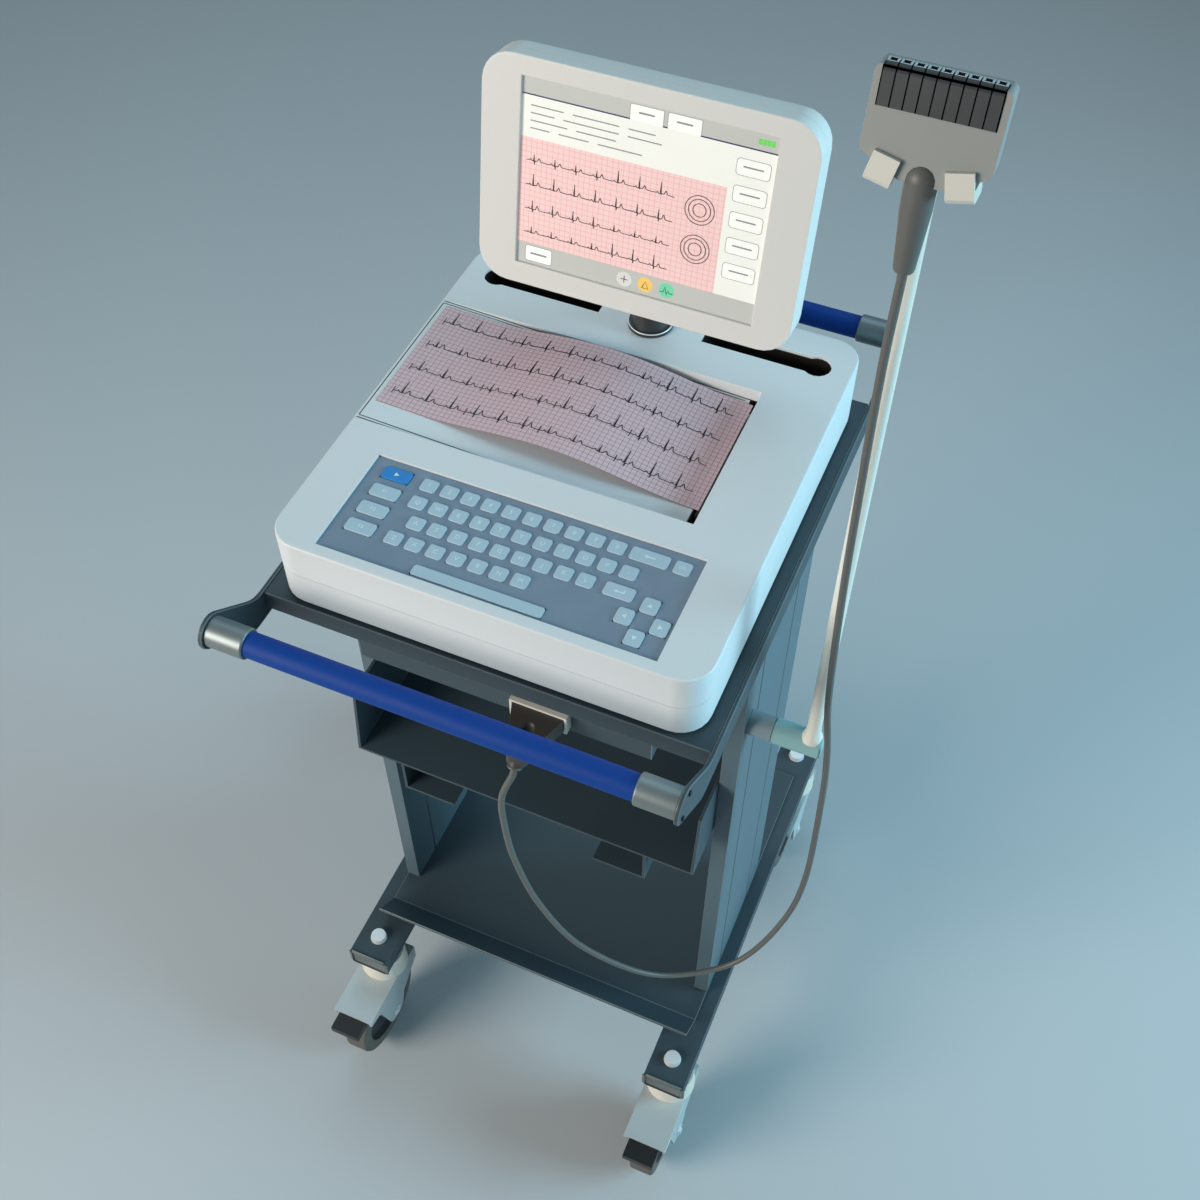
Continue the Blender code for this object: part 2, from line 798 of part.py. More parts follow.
shelf_tray = shape("shelf_tray", tray_floor, root)
join(shelf_tray, tray_back)
wall_outline = [
    (SHELF_FRONT_Y, SHELF_Z),
    (shelf_back, SHELF_Z),
    (shelf_back, SHELF_Z + SHELF_WALL_H),
    (SHELF_FRONT_Y + SHELF_WALL_LEAN, SHELF_Z + SHELF_WALL_H),
]
for sign in (-1, 1):
    outer = sign * shelf_half
    inner = sign * (shelf_half - SHEET)
    wall = prism("wall", wall_outline, "X", min(outer, inner), max(outer, inner), root)
    combine(shelf_tray, wall, "UNION")
    angle = [
        (sign * RUNNER_X, SHELF_Z + SHEET / 2),
        (sign * RUNNER_X, SHELF_Z - RUNNER_H),
        (sign * (RUNNER_X - RUNNER_W), SHELF_Z - RUNNER_H),
        (sign * (RUNNER_X - RUNNER_W), SHELF_Z - RUNNER_H + SHEET),
        (sign * (RUNNER_X - SHEET), SHELF_Z - RUNNER_H + SHEET),
        (sign * (RUNNER_X - SHEET), SHELF_Z + SHEET / 2),
    ]
    runner = prism("runner", angle, "Y", SHELF_FRONT_Y, shelf_back, root)
    combine(shelf_tray, runner, "UNION")
finish(shelf_tray, PAINT, 0.45)

# Table top: a sheet with its front and rear edges folded down
table_outline = [
    (table_front, table_top),
    (table_front, table_top - TABLE_LIP),
    (table_front + SHEET, table_top - TABLE_LIP),
    (table_front + SHEET, table_low),
    (table_back - SHEET, table_low),
    (table_back - SHEET, table_top - TABLE_LIP),
    (table_back, table_top - TABLE_LIP),
    (table_back, table_top),
]
top_plate = prism("top_plate", table_outline, "X", -TABLE_W / 2, TABLE_W / 2, root)
finish(top_plate, PAINT, 0.45)

# Side plates: straight along the table, sweeping up to the handles at both ends
handle_y = {"front": table_front - HANDLE_REACH, "rear": table_back + HANDLE_REACH}
handle_z = table_top + HANDLE_RISE
plate_top = table_top + SIDE_PLATE_RISE
plate_low = plate_top - SIDE_PLATE_H


def plate_end(axis_y, outward):
    """Corners of one end, from the level lower edge round to the level upper edge."""
    along = Vector((outward * math.cos(SIDE_PLATE_ANGLE), math.sin(SIDE_PLATE_ANGLE)))
    across = Vector((-along.y * outward, along.x * outward))
    nose = Vector((axis_y, handle_z)) + along * (SIDE_PLATE_END_H / 2)
    high = nose + across * (SIDE_PLATE_END_H / 2)
    low = nose - across * (SIDE_PLATE_END_H / 2)
    low_bend = low - along * ((low.y - plate_low) / along.y)
    high_bend = high - along * ((high.y - plate_top) / along.y)
    return [
        (low_bend.x, low_bend.y, SIDE_PLATE_BEND_R),
        (low.x, low.y, SIDE_PLATE_END_H / 2),
        (high.x, high.y, SIDE_PLATE_END_H / 2),
        (high_bend.x, high_bend.y, SIDE_PLATE_BEND_R),
    ]


front_end = plate_end(handle_y["front"], -1)
rear_end = plate_end(handle_y["rear"], 1)
side_outline = rounded(front_end + list(reversed(rear_end)), steps=4)
plate_in = TABLE_W / 2 + GAP
for side, sign in (("left", -1), ("right", 1)):
    low = min(sign * plate_in, sign * (plate_in + SIDE_PLATE_T))
    plate = prism(side + "_side_plate", side_outline, "X", low, low + SIDE_PLATE_T, root)
    finish(plate, PAINT, 0.45)

# Handles: a gripped tube in a ferrule at each end
ferrule_out = plate_in - GAP
tube_half = ferrule_out - FERRULE_L + FERRULE_SOCKET - GAP
for end in ("front", "rear"):
    here = (0, handle_y[end], handle_z)

    def tube(bm):
        add_rod(bm, (-tube_half, 0, 0), (tube_half, 0, 0), HANDLE_R)

    finish(shape(end + "_handle_tube", tube, root, here), GRIP_BLUE, 0.5)
    for side, sign in (("left", -1), ("right", 1)):
        socket = HANDLE_R + GAP
        floor = FERRULE_L - FERRULE_SOCKET
        profile = [
            (0, FERRULE_L - FERRULE_SOCKET),
            (socket, floor),
            (socket, FERRULE_L),
            (FERRULE_R - FERRULE_EDGE, FERRULE_L),
            (FERRULE_R, FERRULE_L - FERRULE_EDGE),
            (FERRULE_R, 0),
            (0, 0),
        ]
        ferrule = turned(end + "_" + side + "_ferrule", profile, root, sides=24)
        ferrule.location = (sign * ferrule_out, handle_y[end], handle_z)
        ferrule.rotation_euler = (0, -sign * math.pi / 2, 0)
        finish(ferrule, (0.40, 0.43, 0.44), 0.4, 0.3)

# Junction box hung under the table, open at the top, with the cable socket in its front
junction_front = table_front + JUNCTION_SETBACK
junction_top = table_low - GAP
junction_low = junction_top - JUNCTION_H
junction_back = junction_front + JUNCTION_D
socket_z = junction_low + SOCKET_LIFT


def junction_outer(bm):
    low = (-JUNCTION_W / 2, junction_front, junction_low)
    add_box(bm, low, (JUNCTION_W / 2, junction_back, junction_top))


def junction_inner(bm):
    half = JUNCTION_W / 2 - SHEET
    low = (-half, junction_front + SHEET, junction_low + SHEET)
    add_box(bm, low, (half, junction_back - SHEET, junction_top + SHEET))


def socket_hole(bm):
    half_w = SOCKET_W / 2 + GAP
    half_h = SOCKET_H / 2 + GAP
    low = (SOCKET_X - half_w, junction_front - SHEET, socket_z - half_h)
    add_box(bm, low, (SOCKET_X + half_w, junction_front + 2 * SHEET, socket_z + half_h))


junction_box = shape("junction_box", junction_outer, root)
cut(junction_box, junction_inner)
cut(junction_box, socket_hole)
finish(junction_box, PAINT, 0.45)

socket_front = junction_front - SOCKET_PROUD
plug_half_w = SOCKET_W / 2 - SOCKET_WALL - GAP
plug_half_h = SOCKET_H / 2 - SOCKET_WALL - GAP


def socket_body(bm):
    low = (SOCKET_X - SOCKET_W / 2, socket_front, socket_z - SOCKET_H / 2)
    high = (SOCKET_X + SOCKET_W / 2, socket_front + SOCKET_L, socket_z + SOCKET_H / 2)
    add_box(bm, low, high)


def socket_mouth(bm):
    half_w = plug_half_w + GAP
    half_h = plug_half_h + GAP
    low = (SOCKET_X - half_w, socket_front - SHEET, socket_z - half_h)
    high = (SOCKET_X + half_w, socket_front + PLUG_NOSE + GAP, socket_z + half_h)
    add_box(bm, low, high)


cable_socket = shape("cable_socket", socket_body, root)
cut(cable_socket, socket_mouth)
finish(cable_socket, (0.80, 0.80, 0.78), 0.4)

# Cable plug: a flat wedge that runs forward from the socket, its cable leaving downwards
plug_front = socket_front - PLUG_L
plug_plan = rounded([
    (SOCKET_X - plug_half_w, socket_front + PLUG_NOSE, PLUG_NOSE_R),
    (SOCKET_X - plug_half_w, socket_front - PLUG_SHOULDER, 0),
    (SOCKET_X - PLUG_FRONT_W / 2, plug_front, PLUG_FRONT_R),
    (SOCKET_X + PLUG_FRONT_W / 2, plug_front, PLUG_FRONT_R),
    (SOCKET_X + plug_half_w, socket_front - PLUG_SHOULDER, 0),
    (SOCKET_X + plug_half_w, socket_front + PLUG_NOSE, PLUG_NOSE_R),
], steps=3)
cable_plug = prism("cable_plug", plug_plan, "Z", socket_z - plug_half_h, socket_z + plug_half_h, root)
collar_way = Vector((0, -math.cos(PLUG_COLLAR_ANGLE), -math.sin(PLUG_COLLAR_ANGLE)))
collar_start = Vector((SOCKET_X, plug_front + PLUG_COLLAR_SETBACK, socket_z))
collar_end = collar_start + collar_way * PLUG_COLLAR_L


def plug_collar(bm):
    add_rod(bm, collar_start, collar_end, PLUG_COLLAR_R, sides=16)


join(cable_plug, plug_collar)
finish(cable_plug, (0.045, 0.040, 0.036), 0.55)

# Arm on the right column, and the pole that stands in it
arm_y = column_front + ARM_INSET
arm_z = table_top - ARM_DROP
arm_start = column_out + GAP
arm_end = arm_start + ARM_L
pole_x = arm_end - POLE_FROM_END
pole_low = arm_z - POLE_SEAT
pole_top = pole_low + POLE_L


def arm_bar(bm):
    add_rod(bm, (arm_start, arm_y, arm_z), (arm_end, arm_y, arm_z), ARM_R, sides=28)


def pole_bore(bm):
    add_rod(bm, (pole_x, arm_y, pole_low - GAP), (pole_x, arm_y, arm_z + 2 * ARM_R), POLE_R + GAP)


cable_arm = shape("cable_arm", arm_bar, root)
cut(cable_arm, pole_bore)
finish(cable_arm, (0.45, 0.52, 0.52), 0.45)


def pole_bar(bm):
    add_rod(bm, (pole_x, arm_y, pole_low), (pole_x, arm_y, pole_top), POLE_R)


pole = shape("pole", pole_bar, root)
finish(pole, (0.80, 0.78, 0.72), 0.35)

# Lead module, leaning back in a cradle clamped to the top of the pole.
# In the module's frame Y runs from its front face (0) to its back, Z is up from its chin.
module_back_y = arm_y - POLE_R - GAP - CRADLE_T - GAP
module_frame = frame(
    "module_frame",
    root,
    (pole_x, module_back_y - MODULE_T, pole_top + MODULE_LIFT),
    MODULE_TILT,
)
half_module = MODULE_W / 2
half_neck = MODULE_NECK_W / 2
module_outline = rounded([
    (-half_module, 0, MODULE_R),
    (-half_neck, -MODULE_CHIN, MODULE_CHIN_R),
    (half_neck, -MODULE_CHIN, MODULE_CHIN_R),
    (half_module, 0, MODULE_R),
    (half_module, MODULE_H, MODULE_R),
    (-half_module, MODULE_H, MODULE_R),
], steps=3)
module_case = prism("module_case", module_outline, "Y", 0, MODULE_T, module_frame)
lead_half = (LEADS * LEAD_PITCH) / 2
lead_low = MODULE_H - LEAD_H
lead_back = LEAD_T - LEAD_PROUD


def lead_pocket(bm):
    low = (-lead_half - GAP, -SHEET, lead_low - GAP)
    add_box(bm, low, (lead_half + GAP, lead_back + GAP, MODULE_H + SHEET))


cut(module_case, lead_pocket)
comb = [(-lead_half, lead_back), (-lead_half, lead_back - LEAD_SPINE)]
for lead in range(LEADS):
    middle = -lead_half + (lead + 0.5) * LEAD_PITCH
    comb.append((middle - LEAD_W / 2, lead_back - LEAD_SPINE))
    comb.append((middle - LEAD_W / 2, -LEAD_PROUD))
    comb.append((middle + LEAD_W / 2, -LEAD_PROUD))
    comb.append((middle + LEAD_W / 2, lead_back - LEAD_SPINE))
comb += [(lead_half, lead_back - LEAD_SPINE), (lead_half, lead_back)]
lead_top = MODULE_H + LEAD_PROUD
lead_connectors = prism("lead_connectors", comb, "Z", lead_low, lead_top, module_frame)
finish(lead_connectors, (0.10, 0.10, 0.10), 0.5)

# Cable boot: straight down out of the module's chin, standing a little proud of its face
chin_z = pole_top + MODULE_LIFT - MODULE_CHIN * math.cos(MODULE_TILT)
chin_y = module_back_y - MODULE_T - MODULE_CHIN * math.sin(MODULE_TILT)
boot_y = chin_y + BOOT_TOP_R - BOOT_PROUD
boot_top = chin_z + BOOT_INTO
boot_low = boot_top - BOOT_L


def boot_shape(grow):
    """A round top, a straight neck and a long taper, let out all round by a clearance."""
    profile = []
    for k in range(5):
        angle = math.pi / 2 * (1 - k / 4)
        radius = (BOOT_TOP_R + grow) * math.cos(angle)
        profile.append((radius if k else 0, BOOT_L - BOOT_TOP_R + (BOOT_TOP_R + grow) * math.sin(angle)))
    profile.append((BOOT_TOP_R + grow, BOOT_STRAIGHT))
    profile.append((BOOT_END_R + grow, BOOT_END_ROUND))
    profile.append((BOOT_END_R + grow - BOOT_END_ROUND, 0))
    profile.append((0, 0))
    return profile


boot_at = (pole_x, boot_y, boot_low)
boot_room = turned("tool", boot_shape(GAP), root, boot_at, sides=20)
combine(module_case, boot_room, "DIFFERENCE")
finish(module_case, (0.42, 0.43, 0.42), 0.45)
module_boot = turned("module_boot", boot_shape(0), root, boot_at, sides=20)
finish(module_boot, (0.13, 0.12, 0.11), 0.5)

# Cradle: a back plate behind the module with two hooks under its chin, clamped to the pole
cradle_y = MODULE_T + GAP
chin_slope = MODULE_CHIN / (half_module - half_neck)
hook_drop = chin_slope * (half_module - HOOK_X + HOOK_W / 2) - math.tan(HOOK_LEAN) * HOOK_W / 2


def cradle_plate(bm):
    low = (-CRADLE_W / 2, cradle_y, -CRADLE_BELOW)
    add_box(bm, low, (CRADLE_W / 2, cradle_y + CRADLE_T, CRADLE_H - CRADLE_BELOW))


module_cradle = shape("module_cradle", cradle_plate, module_frame)
hook_low = -GAP - HOOK_FLOOR
hook_outline = [
    (cradle_y + CRADLE_T, HOOK_ROOT),
    (cradle_y, HOOK_ROOT),
    (cradle_y, -GAP),
    (-GAP, -GAP),
    (-GAP, hook_low + HOOK_LIP),
    (-GAP - CRADLE_T, hook_low + HOOK_LIP),
    (-GAP - CRADLE_T, hook_low + CRADLE_T),
    (-GAP, hook_low),
    (cradle_y, hook_low),
    (cradle_y + CRADLE_T, hook_low + CRADLE_T),
]
for sign in (-1, 1):
    hook = prism("hook", hook_outline, "X", -HOOK_W / 2, HOOK_W / 2, module_frame)
    hook.location = (sign * HOOK_X, 0, -hook_drop)
    hook.rotation_euler = (0, -sign * HOOK_LEAN, 0)
    combine(module_cradle, hook, "UNION")


def clamp_barrel(bm):
    turn = Matrix.Rotation(MODULE_TILT, 4, "X")
    origin = Vector(module_frame.location)
    start = turn @ (Vector((pole_x, arm_y, pole_top + SHEET - CRADLE_CLAMP_H)) - origin)
    end = turn @ (Vector((pole_x, arm_y, pole_top + SHEET)) - origin)
    add_rod(bm, start, end, CRADLE_CLAMP_R)


def clamp_bore(bm):
    turn = Matrix.Rotation(MODULE_TILT, 4, "X")
    origin = Vector(module_frame.location)
    start = turn @ (Vector((pole_x, arm_y, pole_top - 2 * CRADLE_CLAMP_H)) - origin)
    end = turn @ (Vector((pole_x, arm_y, pole_top + GAP)) - origin)
    add_rod(bm, start, end, POLE_R + GAP)


join(module_cradle, clamp_barrel)
cut(module_cradle, clamp_bore)
finish(module_cradle, (0.78, 0.76, 0.70), 0.45)

# Patient cable: from the boot down beside the pole, round in a loose loop and up to the plug
down = Vector((0, 0, -1))
cable_start = Vector((pole_x, boot_y, boot_low)) + down * GAP
cable_end = collar_end + collar_way * GAP
cable_route = [
    cable_start + down * CABLE_LEAD,
    *CABLE_ROUTE,
    cable_end + collar_way * CABLE_LEAD,
]


def smooth_route(points, spacing):
    """Points read at even steps from a smooth curve through the route's own points."""
    route = [Vector(p) for p in points]
    ends = [2 * route[0] - route[1]] + route + [2 * route[-1] - route[-2]]
    dense = []
    for a, b, c, d in zip(ends, ends[1:], ends[2:], ends[3:]):
        for k in range(CABLE_SPAN_STEPS):
            t = k / CABLE_SPAN_STEPS
            bend = 2 * b + (c - a) * t + (2 * a - 5 * b + 4 * c - d) * t * t
            dense.append((bend + (3 * b - a - 3 * c + d) * t ** 3) / 2)
    dense.append(route[-1])
    total = sum((q - p).length for p, q in zip(dense, dense[1:]))
    count = round(total / spacing)
    samples = [dense[0]]
    walked = 0.0
    for p, q in zip(dense, dense[1:]):
        step = (q - p).length
        while len(samples) < count and walked + step >= len(samples) * total / count:
            samples.append(p.lerp(q, (len(samples) * total / count - walked) / step))
        walked += step
    samples.append(dense[-1])
    return samples


curve = bpy.data.curves.new("patient_cable", "CURVE")
curve.dimensions = "3D"
curve.bevel_depth = CABLE_R
curve.bevel_resolution = 2
curve.use_fill_caps = True
samples = [cable_start] + smooth_route(cable_route, CABLE_STEP) + [cable_end]
spline = curve.splines.new("POLY")
spline.points.add(len(samples) - 1)
for point, sample in zip(spline.points, samples):
    point.co = (*sample, 1)
patient_cable = bpy.data.objects.new("patient_cable", curve)
patient_cable.parent = root
parts.objects.link(patient_cable)
paint(patient_cable, (0.07, 0.065, 0.06))

# Recorder case: a lower tray on feet and an upper shell
case_low = table_top + GAP + FOOT_H
seam = case_low + CASE_LOWER_H
upper_low = seam + GAP
case_top = upper_low + CASE_UPPER_H
case_floor = case_low + CASE_WALL
case_back_y = CASE_FRONT_Y + CASE_D
half_case = CASE_W / 2
case_plan = rounded_box((-half_case, CASE_FRONT_Y), (half_case, case_back_y), CASE_CORNER_R, 6)
cavity_plan = rounded_box(
    (-half_case + CASE_WALL, CASE_FRONT_Y + CASE_WALL),
    (half_case - CASE_WALL, case_back_y - CASE_WALL),
    CASE_CORNER_R - CASE_WALL,
    6,
)
board_front = CASE_FRONT_Y + BOARD_SETBACK
board_low = case_floor + STANDOFF_H + GAP

base_case = prism("base_case", case_plan, "Z", case_low, seam, root)
combine(base_case, prism("tool", cavity_plan, "Z", case_floor, seam + SHEET, root), "DIFFERENCE")


def feet_and_standoffs(bm):
    for x in (-half_case + FOOT_INSET, half_case - FOOT_INSET):
        for y in (CASE_FRONT_Y + FOOT_INSET, case_back_y - FOOT_INSET):
            add_rod(bm, (x, y, table_top + GAP), (x, y, case_low + CASE_WALL / 2), FOOT_R, sides=16)
    for x in (-BOARD_W / 2 + STANDOFF_INSET, BOARD_W / 2 - STANDOFF_INSET):
        for y in (board_front + STANDOFF_INSET, board_front + BOARD_D - STANDOFF_INSET):
            low = (x, y, case_floor - CASE_WALL / 3)
            add_rod(bm, low, (x, y, case_floor + STANDOFF_H), STANDOFF_R, sides=12)


join(base_case, feet_and_standoffs)
finish(base_case, CASE_WHITE, 0.45)


top_case = prism("top_case", case_plan, "Z", upper_low, case_top, root)
round_rim(top_case, 2, case_top, CASE_EDGE)
under = case_top - CASE_TOP_T
combine(top_case, prism("tool", cavity_plan, "Z", upper_low - SHEET, under, root), "DIFFERENCE")
well_right = DOOR_RIGHT_X + DOOR_SLOT


def well_block(bm):
    low = (-half_case + CASE_WALL / 2, DOOR_FRONT_Y - WELL_WALL, case_top - WELL_H)
    add_box(bm, low, (well_right + WELL_WALL, DOOR_BACK_Y + WELL_WALL, case_top - CASE_TOP_T / 2))


def well_opening(bm):
    low = (-half_case + 2 * CASE_WALL, DOOR_FRONT_Y, case_top - WELL_H - SHEET)
    add_box(bm, low, (well_right, DOOR_BACK_Y, case_top + SHEET))


def well_left(bm):
    low = (-half_case - SHEET, DOOR_FRONT_Y, upper_low - SHEET)
    add_box(bm, low, (-half_case + 3 * CASE_WALL, DOOR_BACK_Y, case_top + SHEET))


key_rows = 4
first_key = KEYPAD_LEFT + FUNCTION_KEY_W + FUNCTION_GAP + KEY_W / 2
keypad_w = first_key + KEY_COLUMNS * KEY_PITCH + KEY_W / 2 + KEYPAD_RIGHT
keypad_d = KEY_ROW_BACK + (key_rows - 1) * KEY_ROW + SPACE_ROW + SPACE_FRONT
keypad_left = -keypad_w / 2
keypad_right = keypad_w / 2
keypad_y = CASE_FRONT_Y + KEYPAD_FRONT
keypad_back = keypad_y + keypad_d


def keypad_window(bm):
    low = (keypad_left, keypad_y, under - SHEET)
    add_box(bm, low, (keypad_right, keypad_back, case_top + SHEET))


def neck_hole(bm):
    low = (0, NECK_Y, under - SHEET)
    add_rod(bm, low, (0, NECK_Y, case_top + SHEET), NECK_STUB_R + RUN, sides=32)


join(top_case, well_block)
cut(top_case, well_opening)
cut(top_case, well_left)
cut(top_case, keypad_window)
cut(top_case, neck_hole)
for sign in (-1, 1):
    inner = SLOT_IN_X
    half = SLOT_W / 2
    mouth = math.asin(half / SLOT_END_R)
    slot = [(sign * inner, SLOT_Y - half), (sign * inner, SLOT_Y + half)]
    for k in range(SLOT_STEPS + 1):
        angle = math.pi - mouth - k * 2 * (math.pi - mouth) / SLOT_STEPS
        x = SLOT_OUT_X + SLOT_END_R * math.cos(angle)
        slot.append((sign * x, SLOT_Y + SLOT_END_R * math.sin(angle)))
    combine(top_case, prism("tool", slot, "Z", under - SHEET, case_top + SHEET, root), "DIFFERENCE")
finish(top_case, CASE_WHITE, 0.45)

# Keypad: a moulded mat held under the case top, with separate keys in holes of their own
panel_top = case_top - KEYPAD_SUNK
flange_top = under - GAP
flange_low = flange_top - KEYPAD_FLANGE_T
key_x = keypad_left + first_key
key_rows_y = [keypad_back - KEY_ROW_BACK - row * KEY_ROW for row in range(key_rows)]
letter_rows = [
    [key_x + KEY_PITCH * k for k in range(10)],
    [key_x + KEY_PITCH * k for k in range(11)],
    [key_x + KEY_PITCH * (k + 0.5) for k in range(9)],
    [key_x + KEY_PITCH * k for k in range(7)],
]
fixed_keys = []
for y, xs in zip(key_rows_y, letter_rows):
    for x in xs:
        fixed_keys.append((x, y, KEY_W, KEY_D))
end_key_x = key_x + KEY_COLUMNS * KEY_PITCH
rubout_w = end_key_x - letter_rows[0][-1] - 2 * KEY_PITCH + KEY_W
rubout_x = (end_key_x + letter_rows[0][-1]) / 2
enter_x = letter_rows[2][-1] + KEY_W / 2 + ENTER_GAP + ENTER_KEY_W / 2
fixed_keys.append((rubout_x, key_rows_y[0], rubout_w, KEY_D))
fixed_keys.append((end_key_x, key_rows_y[0], KEY_W, KEY_D))
fixed_keys.append((enter_x, key_rows_y[2], ENTER_KEY_W, KEY_D))
function_x = keypad_left + KEYPAD_LEFT + FUNCTION_KEY_W / 2
arrow_spread = KEY_W + ARROW_GAP
arrow_rise = ARROW_D + ARROW_ROW_GAP
arrow_x = keypad_right - ARROW_RIGHT - KEY_W / 2 - arrow_spread
arrow_y = key_rows_y[-1]
space_w = SPACE_SPAN * KEY_PITCH
space_x = key_x + SPACE_START * KEY_PITCH + space_w / 2
space_y = keypad_y + SPACE_FRONT
moving_keys = {
    "blue_key": (function_x, key_rows_y[0], FUNCTION_KEY_W, KEY_D),
    "function_key_1": (function_x, key_rows_y[1], FUNCTION_KEY_W, KEY_D),
    "function_key_2": (function_x, key_rows_y[2], FUNCTION_KEY_W, KEY_D),
    "function_key_3": (function_x, key_rows_y[3], FUNCTION_KEY_W, KEY_D),
    "space_bar": (space_x, space_y, space_w, SPACE_D),
    "up_key": (arrow_x, arrow_y + arrow_rise, KEY_W, ARROW_D),
    "left_key": (arrow_x - arrow_spread, arrow_y, KEY_W, ARROW_D),
    "right_key": (arrow_x + arrow_spread, arrow_y, KEY_W, ARROW_D),
    "down_key": (arrow_x, arrow_y - arrow_rise, KEY_W, ARROW_D),
}


def mat_flange(bm):
    low = (keypad_left - KEYPAD_FLANGE, keypad_y - KEYPAD_FLANGE, flange_low)
    add_box(bm, low, (keypad_right + KEYPAD_FLANGE, keypad_back + KEYPAD_FLANGE, flange_top))


def mat_panel(bm):
    low = (keypad_left + KEY_GAP, keypad_y + KEY_GAP, flange_low + KEYPAD_FLANGE_T / 2)
    add_box(bm, low, (keypad_right - KEY_GAP, keypad_back - KEY_GAP, panel_top))


def mat_keys(bm):
    for x, y, width, depth in fixed_keys:
        low = (x - width / 2, y - depth / 2, panel_top - KEYPAD_SUNK / 4)
        add_box(bm, low, (x + width / 2, y + depth / 2, panel_top + KEY_PROUD))


def key_holes(bm):
    for x, y, width, depth in moving_keys.values():
        low = (x - width / 2 - KEY_GAP, y - depth / 2 - KEY_GAP, flange_low - SHEET)
        high = (x + width / 2 + KEY_GAP, y + depth / 2 + KEY_GAP, panel_top + SHEET)
        add_box(bm, low, high)


keypad = shape("keypad", mat_flange, root)
join(keypad, mat_panel)
join(keypad, mat_keys)
cut(keypad, key_holes)
finish(keypad, (0.20, 0.25, 0.31), 0.6)
for name, (x, y, width, depth) in moving_keys.items():
    height = panel_top + KEY_PROUD - flange_low

    def cap(bm):
        low = (-width / 2, -depth / 2, 0)
        add_box(bm, low, (width / 2, depth / 2, height))

    key = shape(name, cap, root, (x, y, flange_low))
    finish(key, (0.02, 0.22, 0.62) if name == "blue_key" else KEY_GREY, 0.5)

# Chart writer door: a ramp that falls to the right, with a skirt at the case's left side
door_left = -half_case
door_top = case_top
ramp_end = case_top - DOOR_DIP
skirt_low = upper_low + GAP
edge = CASE_EDGE
door_outline = rounded([
    (door_left, door_top, edge),
    (DOOR_RIGHT_X, ramp_end, 0),
    (DOOR_RIGHT_X, ramp_end - DOOR_T, 0),
    (door_left + DOOR_T, door_top - DOOR_T, 0),
    (door_left + DOOR_T, skirt_low, 0),
    (door_left, skirt_low, 0),
], steps=3)
door_y = (DOOR_FRONT_Y + DOOR_GAP, DOOR_BACK_Y - DOOR_GAP)
printer_door = prism("printer_door", door_outline, "Y", *door_y, root)
platen_z = case_top - PLATEN_DROP
gear_y = DOOR_BACK_Y - GEAR_MARGIN - GEAR_T
ear_back = gear_y - RUN - PLATEN_EAR_T
ear_front = DOOR_FRONT_Y + PLATEN_EAR_MARGIN


def ears(bm):
    for y in (ear_front, ear_back):
        low = (PLATEN_X - PLATEN_EAR_W / 2, y, platen_z - PLATEN_EAR_W / 2)
        add_box(bm, low, (PLATEN_X + PLATEN_EAR_W / 2, y + PLATEN_EAR_T, ramp_end - DOOR_T / 2))


def ear_bores(bm):
    start = (PLATEN_X, ear_front - DOOR_T, platen_z)
    add_rod(bm, start, (PLATEN_X, ear_back + 1.5 * PLATEN_EAR_T, platen_z), PLATEN_SHAFT_R + RUN)


join(printer_door, ears)
cut(printer_door, ear_bores)
finish(printer_door, CASE_WHITE, 0.4)

# Platen roller with its gear, and the motor's pinion in mesh with it
roller_front = ear_front + PLATEN_EAR_T + RUN
roller_back = ear_back - RUN
gear_profile = gear_outline(GEAR_TEETH)
platen_roller = prism("platen_roller", gear_profile, "Y", gear_y, gear_y + GEAR_T, root)
platen_roller.location = (PLATEN_X, 0, platen_z)


def platen_bar(bm):
    add_rod(bm, (0, ear_front, 0), (0, gear_y + GEAR_T / 2, 0), PLATEN_SHAFT_R)


def platen_rubber(bm):
    add_rod(bm, (0, roller_front, 0), (0, roller_back, 0), PLATEN_R, sides=32)


join(platen_roller, platen_bar)
join(platen_roller, platen_rubber)
finish(platen_roller, (0.06, 0.06, 0.06), 0.6)

pinion_x = PLATEN_X + (GEAR_TEETH + PINION_TEETH) * GEAR_MODULE / 2 + GEAR_BACKLASH
half_tooth = math.pi / PINION_TEETH
turn_back = Matrix.Rotation(half_tooth, 2)
pinion_profile = [tuple(turn_back @ Vector(p)) for p in gear_outline(PINION_TEETH)]
motor_front = DOOR_BACK_Y + WELL_WALL + MOTOR_STANDOFF
shaft_end = motor_front + SHAFT_GRIP
motor_pinion = prism("motor_pinion", pinion_profile, "Y", gear_y, gear_y + GEAR_T, root)
motor_pinion.location = (pinion_x, 0, platen_z)


def pinion_shaft(bm):
    add_rod(bm, (0, gear_y + GEAR_T / 2, 0), (0, shaft_end, 0), PINION_SHAFT_R, sides=16)


join(motor_pinion, pinion_shaft)
finish(motor_pinion, (0.75, 0.70, 0.55), 0.4, 0.6)


def motor_can(bm):
    start = (pinion_x, motor_front, platen_z)
    add_rod(bm, start, (pinion_x, motor_front + MOTOR_L, platen_z), MOTOR_R)


def motor_leg(bm):
    low = (pinion_x - MOTOR_R / 2, motor_front + MOTOR_L / 4, case_floor + GAP)
    add_box(bm, low, (pinion_x + MOTOR_R / 2, motor_front + 0.75 * MOTOR_L, platen_z - MOTOR_R / 2))


def motor_bore(bm):
    start = (pinion_x, motor_front - SHEET, platen_z)
    add_rod(bm, start, (pinion_x, shaft_end + GAP, platen_z), PINION_SHAFT_R + RUN, sides=16)


drive_motor = shape("drive_motor", motor_can, root)
join(drive_motor, motor_leg)
cut(drive_motor, motor_bore)
finish(drive_motor, (0.55, 0.56, 0.58), 0.35, 0.8)

